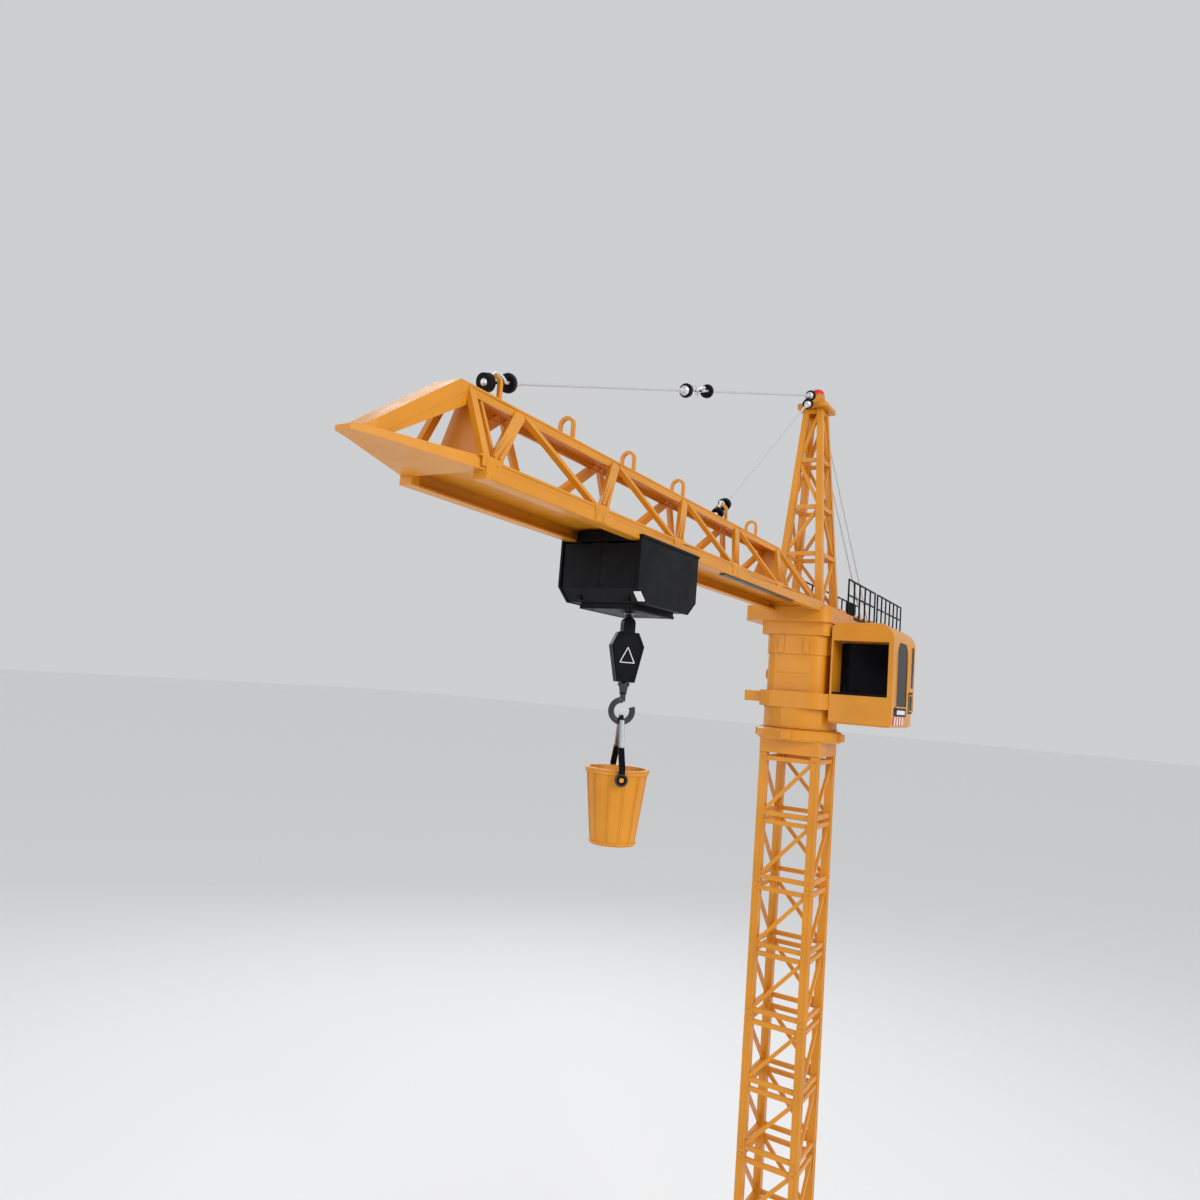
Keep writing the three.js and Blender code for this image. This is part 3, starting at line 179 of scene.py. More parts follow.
def bump(tree, height, distance, strength, after=None):
    node = tree.nodes.new("ShaderNodeBump")
    node.inputs["Distance"].default_value = distance
    node.inputs["Strength"].default_value = strength
    tree.links.new(height, node.inputs["Height"])
    if after is not None:
        tree.links.new(after, node.inputs["Normal"])
    return node.outputs["Normal"]


def new_material(name):
    material = bpy.data.materials.new(name)
    material.use_nodes = True
    return material, material.node_tree, material.node_tree.nodes["Principled BSDF"]


def tint(colour, factor):
    return tuple(min(1.0, channel * factor) for channel in colour)


def plastic(name, colour, roughness=0.4, spread=0.12, grain=0.25, coat=0.0, specular=0.5):
    """Moulded plastic: cloudy tone, faint flow streaks, fine grain, rubbed patches and pale scuffs."""
    material, tree, shader = new_material(name)
    place = texture_place(tree)
    cloud = remap(tree, noise(tree, place, 22.0, 4.0), 0.0, 1.0)
    tone = blend_colour(tree, cloud, tint(colour, 1 - spread), tint(colour, 1 + spread * 0.6))
    scuff_place = texture_place(tree, (1.0, 1.0, 0.18))
    scuff = remap(tree, noise(tree, scuff_place, 420.0, 5.0, 0.7), 0.0, 1.0, 0.66, 0.8)
    pale = tuple(channel * 0.75 + 0.2 for channel in colour)
    worn = tree.nodes.new("ShaderNodeMix")
    worn.data_type = "RGBA"
    weight = tree.nodes.new("ShaderNodeMath")
    weight.operation = "MULTIPLY"
    weight.inputs[1].default_value = 0.22
    tree.links.new(scuff, weight.inputs[0])
    tree.links.new(weight.outputs["Value"], worn.inputs["Factor"])
    tree.links.new(tone.outputs["Result"], worn.inputs["A"])
    worn.inputs["B"].default_value = (*pale, 1)
    tree.links.new(worn.outputs["Result"], shader.inputs["Base Color"])
    rubbed = remap(tree, noise(tree, place, 75.0, 4.0, 0.6), roughness - 0.07, roughness + 0.09)
    tree.links.new(rubbed, shader.inputs["Roughness"])
    waves = bump(tree, noise(tree, place, 60.0, 2.0), 0.0006, 0.10)
    fine = bump(tree, noise(tree, place, 2600.0, 2.0), 0.00006, grain, waves)
    tree.links.new(fine, shader.inputs["Normal"])
    shader.inputs["Specular IOR Level"].default_value = specular
    shader.inputs["Coat Weight"].default_value = coat
    shader.inputs["Coat Roughness"].default_value = 0.15
    return material


def metal(name, colour, roughness=0.25, metallic=1.0):
    """Drawn or turned metal: a fine tone and grain, with smudges in its gloss."""
    material, tree, shader = new_material(name)
    place = texture_place(tree)
    lines = remap(tree, noise(tree, place, 900.0, 3.0), 0.0, 1.0)
    tone = blend_colour(tree, lines, tint(colour, 0.92), tint(colour, 1.08))
    tree.links.new(tone.outputs["Result"], shader.inputs["Base Color"])
    smudge = remap(tree, noise(tree, texture_place(tree), 60.0, 3.0), roughness - 0.03, roughness + 0.05)
    tree.links.new(smudge, shader.inputs["Roughness"])
    tree.links.new(bump(tree, noise(tree, place, 900.0, 2.0), 0.000005, 0.04), shader.inputs["Normal"])
    shader.inputs["Metallic"].default_value = metallic
    return material


def dark_glass(name, colour):
    """Smoked pane: near-black, with a faint cloudy bloom and dust in its gloss."""
    material, tree, shader = new_material(name)
    place = texture_place(tree)
    cloud = remap(tree, noise(tree, place, 45.0, 3.0), 0.0, 1.0)
    tone = blend_colour(tree, cloud, colour, tint(colour, 1.5))
    tree.links.new(tone.outputs["Result"], shader.inputs["Base Color"])
    dust = remap(tree, noise(tree, place, 700.0, 5.0, 0.7), 0.12, 0.28, 0.45, 0.75)
    tree.links.new(dust, shader.inputs["Roughness"])
    tree.links.new(bump(tree, noise(tree, place, 30.0, 2.0), 0.0004, 0.08), shader.inputs["Normal"])
    shader.inputs["Specular IOR Level"].default_value = 0.03
    shader.inputs["Coat Weight"].default_value = 0.012
    shader.inputs["Coat Roughness"].default_value = 0.1
    return material


def lens(name, colour, glow):
    """Clear coloured lamp cover with moulded lines and a faint inner glow."""
    material, tree, shader = new_material(name)
    place = texture_place(tree)
    cloud = remap(tree, noise(tree, place, 260.0, 3.0), 0.0, 1.0)
    tone = blend_colour(tree, cloud, tint(colour, 0.75), colour)
    tree.links.new(tone.outputs["Result"], shader.inputs["Base Color"])
    wave = tree.nodes.new("ShaderNodeTexWave")
    wave.bands_direction = "Z"
    wave.inputs["Scale"].default_value = 420.0
    tree.links.new(place, wave.inputs["Vector"])
    tree.links.new(bump(tree, wave.outputs["Fac"], 0.0003, 0.35), shader.inputs["Normal"])
    tree.links.new(remap(tree, noise(tree, place, 500.0), 0.12, 0.24), shader.inputs["Roughness"])
    shader.inputs["Emission Color"].default_value = (*colour, 1)
    shader.inputs["Emission Strength"].default_value = glow
    return material


def braid(name, colour):
    """Braided cord: crossing strands as two slanted waves, with painted shade in the grooves between
    strands and a painted highlight on their crests.
    """
    material, tree, shader = new_material(name)
    heights = []
    for slant in (1.0, -1.0):
        place = tree.nodes.new("ShaderNodeTexCoord")
        turn = tree.nodes.new("ShaderNodeMapping")
        turn.inputs["Rotation"].default_value = (0, math.radians(40) * slant, math.radians(20))
        tree.links.new(place.outputs["Object"], turn.inputs["Vector"])
        wave = tree.nodes.new("ShaderNodeTexWave")
        wave.inputs["Scale"].default_value = 700.0
        tree.links.new(turn.outputs["Vector"], wave.inputs["Vector"])
        heights.append(wave.outputs["Fac"])
    both = tree.nodes.new("ShaderNodeMath")
    both.operation = "MAXIMUM"
    for i, height in enumerate(heights):
        tree.links.new(height, both.inputs[i])
    # colour follows the strands' relief: painted shade darkens the grooves, a painted highlight lightens
    # the crests
    tone = blend_colour(tree, both.outputs["Value"], tint(colour, 0.5), tint(colour, 1.8))
    tree.links.new(tone.outputs["Result"], shader.inputs["Base Color"])
    tree.links.new(bump(tree, both.outputs["Value"], 0.0003, 0.6), shader.inputs["Normal"])
    shader.inputs["Roughness"].default_value = 0.75
    shader.inputs["Sheen Weight"].default_value = 0.3
    return material


YELLOW = (0.69, 0.268, 0.011)
BLACK = (0.0035, 0.0038, 0.0055)
LOOKS = {
    "yellow": plastic("yellow_plastic", YELLOW, 0.36, 0.10, 0.2, 0.10, 0.4),
    "black": plastic("black_plastic", BLACK, 0.42, 0.30, 0.4, 0.0, 0.10),
    "window": dark_glass("smoked_window", (0.004, 0.0045, 0.007)),
    "red_lens": lens("red_lens", (0.62, 0.012, 0.016), 0.25),
    "blue_lens": lens("blue_lens", (0.02, 0.10, 0.60), 0.4),
    "steel": metal("bright_steel", (0.78, 0.79, 0.81), 0.42, metallic=0.75),
    "rod": metal("drawn_rod", (0.60, 0.61, 0.63), 0.48, metallic=0.4),
    "dull_steel": metal("dull_steel", (0.30, 0.31, 0.32), 0.38),
    "dark_steel": metal("dark_steel", (0.05, 0.05, 0.055), 0.36, metallic=0.6),
    "iron": metal("cast_iron", (0.08, 0.08, 0.085), 0.55, metallic=0.6),
    "white_nylon": plastic("white_nylon", (0.72, 0.72, 0.67), 0.5, 0.08, 0.2),
    "circuit": plastic("circuit_board", (0.02, 0.14, 0.05), 0.45, 0.25, 0.5),
    "cord": braid("braided_cord", (0.02, 0.02, 0.022)),
    "rubber": plastic("rubber", (0.02, 0.02, 0.02), 0.75, 0.3, 0.8),
    "white": plastic("white_print", (0.78, 0.78, 0.76), 0.45, 0.05, 0.2),
    "red": plastic("red_print", (0.55, 0.02, 0.02), 0.45, 0.1, 0.2),
    "orange_line": plastic("yellow_print", (0.70, 0.40, 0.05), 0.45, 0.1, 0.2),
}


# ---------------------------------------------------------------- mesh helpers (crane millimetres)
X_AXIS, Y_AXIS, UP = Vector((1, 0, 0)), Vector((0, 1, 0)), Vector((0, 0, 1))
BEVEL_ANGLE = math.radians(28)


def add_block(bm, corners):
    """Closed box from its eight corners, the lower four and then the upper four, each in a circle."""
    verts = [bm.verts.new(corner) for corner in corners]
    for face in ((3, 2, 1, 0), (4, 5, 6, 7), (0, 1, 5, 4), (1, 2, 6, 5), (2, 3, 7, 6), (3, 0, 4, 7)):
        bm.faces.new([verts[i] for i in face])


def add_box(bm, low, high):
    (x0, y0, z0), (x1, y1, z1) = low, high
    plan = ((x0, y0), (x1, y0), (x1, y1), (x0, y1))
    add_block(bm, [crane(x, y, z) for z in (z0, z1) for x, y in plan])


def add_bar(bm, start, end, width, depth, across):
    """Rectangular bar between two places; across is the direction of its width."""
    start, end = crane(*start), crane(*end)
    along = (end - start).normalized()
    other = along.cross(Vector(across)).normalized() * depth * MM / 2
    side = other.cross(along).normalized() * width * MM / 2
    ring = (side + other, side - other, -side - other, -side + other)
    add_block(bm, [start + v for v in ring] + [end + v for v in ring])


def add_tube(bm, places, radii, sides=14, closed=False):
    """Round tube through places, with one radius or one for each place."""
    points = [crane(*place) for place in places]
    if not isinstance(radii, (list, tuple)):
        radii = [radii] * len(points)
    count = len(points)
    rings = []
    side = None
    for i, point in enumerate(points):
        before = points[(i - 1) % count] if closed or i else point
        after = points[(i + 1) % count] if closed or i < count - 1 else point
        along = (after - before).normalized()
        if side is None:
            side = along.orthogonal().normalized()
        side = (side - along * side.dot(along)).normalized()
        other = along.cross(side)
        ring = []
        for k in range(sides):
            angle = 2 * math.pi * k / sides
            out = side * math.cos(angle) + other * math.sin(angle)
            ring.append(bm.verts.new(point + out * radii[i] * MM))
        rings.append(ring)
    last = count if closed else count - 1
    for i in range(last):
        first, second = rings[i], rings[(i + 1) % count]
        for k in range(sides):
            bm.faces.new((first[k], first[(k + 1) % sides], second[(k + 1) % sides], second[k]))
    if not closed:
        bm.faces.new(list(reversed(rings[0])))
        bm.faces.new(rings[-1])


def add_prism(bm, outline, place, depth):
    """Extrudes an outline of (a, b) pairs; place(a, b, c) puts a point in crane millimetres."""
    low = [bm.verts.new(crane(*place(a, b, 0))) for a, b in outline]
    high = [bm.verts.new(crane(*place(a, b, depth))) for a, b in outline]
    count = len(outline)
    bm.faces.new(list(reversed(low)))
    bm.faces.new(high)
    for i in range(count):
        bm.faces.new((low[i], low[(i + 1) % count], high[(i + 1) % count], high[i]))


def add_screw(bm, place, axis, radius=1.7, height=0.9):
    """Domed screw head with a fine raised cross."""
    start = Vector(place)
    axis = Vector(axis).normalized()
    steps = ((0.0, 1.0), (0.45, 1.0), (0.8, 0.82), (1.0, 0.5))
    places = [start + axis * height * share for share, _ in steps]
    add_tube(bm, places, [radius * wide for _, wide in steps], 14)
    side = axis.orthogonal().normalized()
    for turn in (side, axis.cross(side)):
        slot_from = start + axis * height * 0.93 - turn * radius * 0.42
        slot_to = start + axis * height * 0.93 + turn * radius * 0.42
        add_bar(bm, slot_from, slot_to, radius * 0.2, height * 0.4, axis)


def add_piece(name, build, look, body, bevel=0.0):
    """One detail object, built by build(bm); a body of None leaves the riding to the caller."""
    mesh = bpy.data.meshes.new(name)
    bm = bmesh.new()
    build(bm)
    bmesh.ops.recalc_face_normals(bm, faces=bm.faces)
    bm.to_mesh(mesh)
    bm.free()
    obj = bpy.data.objects.new(name, mesh)
    bpy.context.scene.collection.objects.link(obj)
    mesh.materials.append(LOOKS[look])
    soften(obj, bevel)
    if body is not None:
        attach(obj, body)
    return obj


def soften(obj, width):
    """Rounds the edges by width in millimetres and evens the shading of the flat faces."""
    for polygon in obj.data.polygons:
        polygon.use_smooth = True
    if width:
        edge = obj.modifiers.new("rounded_edges", "BEVEL")
        edge.width = width * MM
        edge.segments = 2
        edge.limit_method = "ANGLE"
        edge.angle_limit = BEVEL_ANGLE
        edge.harden_normals = False
    normals = obj.modifiers.new("even_shading", "WEIGHTED_NORMAL")
    normals.keep_sharp = True
    normals.weight = 80


# ---------------------------------------------------------------- the CAD nodes' finish
EDGES = {"mast": 0.5, "jib": 0.5, "a_frame": 0.5, "turret": 0.8, "cab": 0.9, "leg": 1.2, "base": 1.0,
         "counter": 0.7, "railing": 0.35, "trolley": 0.45, "block": 0.8, "bail": 0.3, "bucket": 0.35,
         "tie_clip": 0.9}  # edge rounding in millimetres, by the start of a node's name
OTHER_EDGE = 0.25
FLAT_ANGLE = math.radians(1.0)


def finish_nodes():
    """Gives every CAD node its look, merges its coplanar facets and rounds its edges."""
    slots = {entry["node"]: entry["material_slot"] for entry in frame["record"]["subparts"]}
    for name, obj in frame["nodes"].items():
        obj.data.materials.clear()
        rod = name.startswith("tie_rod")
        obj.data.materials.append(LOOKS["rod" if rod else slots[name]])
        merge = obj.modifiers.new("merge_flats", "DECIMATE")
        merge.decimate_type = "DISSOLVE"
        merge.angle_limit = FLAT_ANGLE
        width = next((size for key, size in EDGES.items() if name.startswith(key)), OTHER_EDGE)
        soften(obj, 0 if rod else width)


# ---------------------------------------------------------------- measuring the nodes
def span(node):
    """A node's box in crane millimetres: its low corner and its high corner."""
    return [Vector(((v[0] - MAST.x) / MM, v[1] / MM, (v[2] - DECK) / MM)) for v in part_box(node)]


def rod_ends(node, radius=1.1):
    """Lower and upper end of a thin tie rod that runs in the plane of the jib."""
    low, high = span(node)
    slope = math.atan2(high.z - low.z, high.x - low.x)
    trim = Vector((radius * math.sin(slope), 0, radius * math.cos(slope)))
    middle = (low.y + high.y) / 2
    return Vector((low.x, middle, low.z)) + trim, Vector((high.x, middle, high.z)) - trim


def arc(centre, radius, first, last, steps, across, up):
    """Places on an arc in the plane of across and up."""
    places = []
    for i in range(steps + 1):
        angle = first + (last - first) * i / steps
        places.append(centre + across * radius * math.cos(angle) + up * radius * math.sin(angle))
    return places


def circle(centre, radius, steps, across, up):
    """Places once round a circle, for a closed tube."""
    return arc(centre, radius, 0, 2 * math.pi * (steps - 1) / steps, steps - 1, across, up)


def smooth(places, steps=4):
    """Catmull-Rom places through the given ones."""
    ends = [places[0] * 2 - places[1]] + list(places) + [places[-1] * 2 - places[-2]]
    out = []
    for i in range(1, len(ends) - 2):
        a, b, c, d = ends[i - 1:i + 3]
        for k in range(steps):
            t = k / steps
            out.append((b * 2 + (c - a) * t + (a * 2 - b * 5 + c * 4 - d) * t * t
                        + (b * 3 - a - c * 3 + d) * t ** 3) / 2)
    out.append(places[-1].copy())
    return out


def add_turned(bm, start, way, steps, sides):
    """Turned solid along way from start; steps are pairs of a distance and a radius."""
    add_tube(bm, [start + way * far for far, _ in steps], [radius for _, radius in steps], sides)


# ---------------------------------------------------------------- base and mast
PIN_HEIGHT = 5  # of the pins above a mast section's posts


def build_mast_details():
    for i in range(1, 6):
        low, high = span(f"mast_section_{i}")
        top = high.z - PIN_HEIGHT

        def ridges(bm, low=low, high=high, top=top):
            half = high.x
            for sx in (-1, 1):
                for sy in (-1, 1):
                    for inner in (half - 7.9, half - 1.9):
                        near, far = sorted((sy * inner, sy * (inner + 1.8)))
                        x0, x1 = sorted((sx * (half - 0.3), sx * (half + 0.45)))
                        add_box(bm, (x0, near, low.z + 0.6), (x1, far, top - 0.6))
                        near, far = sorted((sx * inner, sx * (inner + 1.8)))
                        y0, y1 = sorted((sy * (half - 0.3), sy * (half + 0.45)))
                        add_box(bm, (near, y0, low.z + 0.6), (far, y1, top - 0.6))

        add_piece(f"mast_ridges_{i}", ridges, "yellow", "base", 0.18)

        def plates(bm, low=low, high=high, top=top):
            half = high.x
            for level in (low.z + 5.4, top - 5.4):
                for sx in (-1, 1):
                    for sy in (-1, 1):
                        add_screw(bm, (sx * half, sy * (half - 4), level), (sx, 0, 0), 1.1, 0.7)
                        add_screw(bm, (sx * (half - 4), sy * half, level), (0, sy, 0), 1.1, 0.7)

        add_piece(f"mast_screws_{i}", plates, "yellow", "base")


def build_base_details():
    low, high = span("base_hub")
    half = high.x
    bottom = low.z

    def screws(bm):
        for sx in (-1, 1):
            for offset in (-34, 34):
                add_screw(bm, (sx * half, offset, bottom + 11), (sx, 0, 0), 2.6, 1.2)
                add_screw(bm, (offset, sx * half, bottom + 11), (0, sx, 0), 2.6, 1.2)

    add_piece("hub_screws", screws, "steel", "base")

    def ribs(bm):
        for sx in (-1, 1):
            for offset in (-22, -11, 0, 11, 22):
                x0, x1 = sorted((sx * (half - 0.5), sx * (half + 1.2)))
                add_box(bm, (x0, offset - 1, bottom + 1.5), (x1, offset + 1, bottom + 19))
                add_box(bm, (offset - 1, x0, bottom + 1.5), (offset + 1, x1, bottom + 19))

    add_piece("hub_ribs", ribs, "black", "base", 0.35)
    for i in range(1, 5):
        low, high = span(f"leg_{i}")
        sx = 1 if abs(high.x) > abs(low.x) else -1
        sy = 1 if abs(high.y) > abs(low.y) else -1
        out = Vector((sx, sy, 0)).normalized()
        side = Vector((-out.y, out.x, 0))
        top = out * 34 * math.sqrt(2) + Vector((0, 0, high.z))
        foot = out * (124 - 13) * math.sqrt(2) + Vector((0, 0, low.z))

        def ladder(bm, out=out, side=side, top=top, foot=foot):
            for way in (-1, 1):
                face = side * way * 9.2
                for share in (0.14, 0.28, 0.42, 0.56, 0.7, 0.84):
                    centre = top.lerp(foot, share) + out * (13 - 13 * share) + face
                    wide = out * (9.5 - 4.5 * share)
                    add_bar(bm, centre - wide, centre + wide, 2.2, 1.6, (0, 0, 1))
                rail_top = top + out * 22 + face + Vector((0, 0, -4))
                rail_foot = foot + out * 7 + face + Vector((0, 0, 12))
                add_bar(bm, rail_top, rail_foot, 2.4, 1.8, (0, 0, 1))
                inner_top = top + out * 4 + face + Vector((0, 0, -4))
                inner_foot = foot - out * 6 + face + Vector((0, 0, 12))
                add_bar(bm, inner_top, inner_foot, 2.4, 1.8, (0, 0, 1))

        add_piece(f"leg_ribs_{i}", ladder, "black", "base", 0.3)

        def anchor(bm, out=out, side=side, foot=foot):
            for way in (-1, 1):
                place = foot + side * way * 11.5 + out * 5 + Vector((0, 0, 9))
                add_screw(bm, place, (0, 0, 1), 2.4, 1.3)

        add_piece(f"foot_screws_{i}", anchor, "steel", "base")


# ---------------------------------------------------------------- turret and cab
def build_turret_details():
    low, high = span("turret_deck")
    house_low = span("turret_housing")[0]

    def deck_screws(bm):
        for x, y in ((low.x + 10, 48), (52, 48), (52, -30), (48, 0)):
            add_screw(bm, (x, y, high.z), (0, 0, 1), 2.2, 1.0)

    add_piece("deck_screws", deck_screws, "dark_steel", "turret")

    def deck_tread(bm):
        for i in range(7):
            y0, y1 = 40.5 + i * 2.2, 41.3 + i * 2.2
            add_box(bm, (low.x + 8, y0, high.z - 0.3), (low.x + 30 + i, y1, high.z + 0.4))
            add_box(bm, (10, y0, high.z - 0.3), (42, y1, high.z + 0.4))

    add_piece("deck_tread", deck_tread, "yellow", "turret", 0.15)
    ledge = house_low.z + 23

    def house_lines(bm):
        front = -32.5
        for level in (ledge + 18.5, ledge + 36.5):
            add_box(bm, (front - 0.5, -18, level), (front + 0.6, 18, level + 0.9))
            add_box(bm, (-18, 32.0, level), (18, 33.0, level + 0.9))
        for offset in (-6, 6):
            add_screw(bm, (front, offset * 2.2, ledge + 11), (-1, 0, 0), 1.7, 0.8)

    add_piece("house_lines", house_lines, "yellow", "turret", 0.2)

    def knob(bm):
        centre = Vector((0, 37.2, house_low.z + 58))
        for i in range(12):
            angle = 2 * math.pi * i / 12
            off = Vector((math.cos(angle) * 5.4, 0, math.sin(angle) * 5.4))
            start, end = centre + off + Vector((0, -0.5, 0)), centre + off + Vector((0, 3.4, 0))
            add_bar(bm, start, end, 1.3, 1.3, (0, 0, 1))
        add_tube(bm, [centre + Vector((0, y, 0)) for y in (-1, 2.6, 3.5)], [5.4, 5.4, 4.4], 24)

    add_piece("lock_knob", knob, "yellow", "turret", 0.2)

    def collar(bm):
        centre = Vector((0, 0, house_low.z + 1.6))
        add_tube(bm, circle(centre, 40.1, 48, X_AXIS, Y_AXIS), 0.7, 8, True)
        upper = centre + Vector((0, 0, 20))
        add_tube(bm, arc(upper, 39.9, 0.9, 5.38, 40, -X_AXIS, Y_AXIS), 0.55, 8)

    add_piece("neck_bead", collar, "yellow", "turret")

    def bolts(bm):
        reach = 42.4
        for i in range(12):
            angle = math.radians(15 + 30 * i)
            place = (reach * math.cos(angle), reach * math.sin(angle), -138)
            add_screw(bm, place, (0, 0, 1), 1.4, 0.25)

    add_piece("flange_bolts", bolts, "dark_steel", "base")


def build_cab_details():
    low, high = span("cab_shell")
    side = low.y

    def roof_bands(bm):
        for start in (low.x + 9, low.x + 40, low.x + 68):
            add_box(bm, (start, side + 13, high.z - 0.6), (start + 5, high.y - 9, high.z + 0.9))

    add_piece("cab_roof_bands", roof_bands, "yellow", "turret", 0.5)

    def frame_lines(bm):
        (x0, _, z0), (x1, _, z1) = span("cab_window_side")
        rim = 1.8
        bars = ((x0 - rim, z0 - rim, x1 + rim, z0 - 0.4), (x0 - rim, z0 - rim, x0 - 0.4, z1 - 13),
                (x1 + 0.4, z0 - rim, x1 + rim, z1 - 13), (x0 + 13, z1 + 0.4, x1 - 13, z1 + rim))
        for left, bottom, right, top in bars:
            add_box(bm, (left, side - 0.7, bottom), (right, side + 0.5, top))
        for sign, x in ((-1, x0 + 13.7), (1, x1 - 13.7)):
            centre = Vector((x, side + 0.1, z1 - 13.7))
            across = Vector((sign, 0, 0))
            add_tube(bm, arc(centre, 15.0, 0, math.pi / 2, 10, across, UP), 0.8, 8)

    add_piece("cab_window_frame", frame_lines, "yellow", "turret", 0.3)

    def door(bm):
        (x0, _, z0), (x1, _, z1) = span("cab_window_rear")
        for x in (x0 - 7, x1 + 1.6):
            add_box(bm, (x, side - 0.45, z0 - 26), (x + 0.8, side + 0.5, z1 + 3))
        add_box(bm, (x0 - 7, side - 0.45, z0 - 26), (x1 + 2.4, side + 0.5, z0 - 25.2))
        add_box(bm, (x0 - 4.5, side - 2.2, z0 - 9), (x0 + 1.5, side - 0.2, z0 - 7))

    add_piece("cab_door_lines", door, "yellow", "turret", 0.2)

    def labels(bm):
        (x0, _, z0), (x1, _, _) = span("cab_window_side")
        add_box(bm, (x0 - 8, side - 0.4, z0 - 10.6), (x1 - 1, side + 0.5, z0 - 1.8))
        (x0, _, z0), (x1, _, _) = span("cab_window_rear")
        add_box(bm, (x0 - 10, side - 0.4, z0 - 28), (x1 - 3, side + 0.5, z0 - 4.5))

    add_piece("cab_label_plates", labels, "black", "turret", 0.2)

    def marks(bm):
        (x0, _, z0), (x1, _, _) = span("cab_window_side")
        add_box(bm, (x0 + 6, side - 0.55, z0 - 8.6), (x1 - 7, side - 0.3, z0 - 4.2))

    add_piece("cab_label_field", marks, "white", "turret", 0.1)

    def frames(bm):
        (x0, _, z0), (x1, _, _) = span("cab_window_rear")
        left, right, low_z, high_z = x0 - 7.5, x1 - 5.5, z0 - 25.5, z0 - 7
        bars = ((left, left + 1, low_z, high_z), (right - 1, right, low_z, high_z),
                (left, right, low_z, low_z + 1), (left, right, high_z - 1, high_z))
        for x0, x1, z0, z1 in bars:
            add_box(bm, (x0, side - 0.55, z0), (x1, side - 0.3, z1))

    add_piece("cab_label_frame", frames, "orange_line", "turret", 0.05)

    def stripes(shift):
        def build(bm):
            (x0, _, z0), _ = span("cab_window_side")
            for i in range(4):
                start = x0 - 12 + i * 12 + shift
                low_z, high_z = z0 - 19.6, z0 - 11.4
                outline = [(start, low_z), (start + 6, low_z), (start + 8.4, high_z), (start + 2.4, high_z)]
                add_prism(bm, outline, lambda a, b, c: (a, side - 0.3 + c, b), 0.8)
        return build

    add_piece("hazard_stripes_red", stripes(0), "red", "turret", 0.05)
    add_piece("hazard_stripes_white", stripes(6.0), "white", "turret", 0.05)

    def lamp(x, y, z, radius):
        def build(bm):
            steps = ((0, 1.0), (0.9, 1.0), (1.9, 0.82), (2.6, 0.5), (2.9, 0.15))
            add_tube(bm, [(x, y, z + up) for up, _ in steps], [radius * wide for _, wide in steps], 18)
        return build

    def base_ring(bm, x, y, z, radius):
        places = [(x, y, z - 0.4), (x, y, z + 0.5), (x, y, z + 0.9)]
        add_tube(bm, places, [radius, radius, radius * 0.86], 18)

    roof, lamp_y, red_x, blue_x = high.z, side + 19, low.x + 42, low.x + 52
    add_piece("cab_lamp_red", lamp(red_x, lamp_y, roof - 0.4, 2.2), "red_lens", "turret")
    add_piece("cab_lamp_blue", lamp(blue_x, lamp_y, roof - 0.4, 2.2), "blue_lens", "turret")

    def rings(bm):
        for x in (red_x, blue_x):
            base_ring(bm, x, lamp_y, roof - 0.5, 2.9)

    add_piece("cab_lamp_rings", rings, "black", "turret", 0.1)


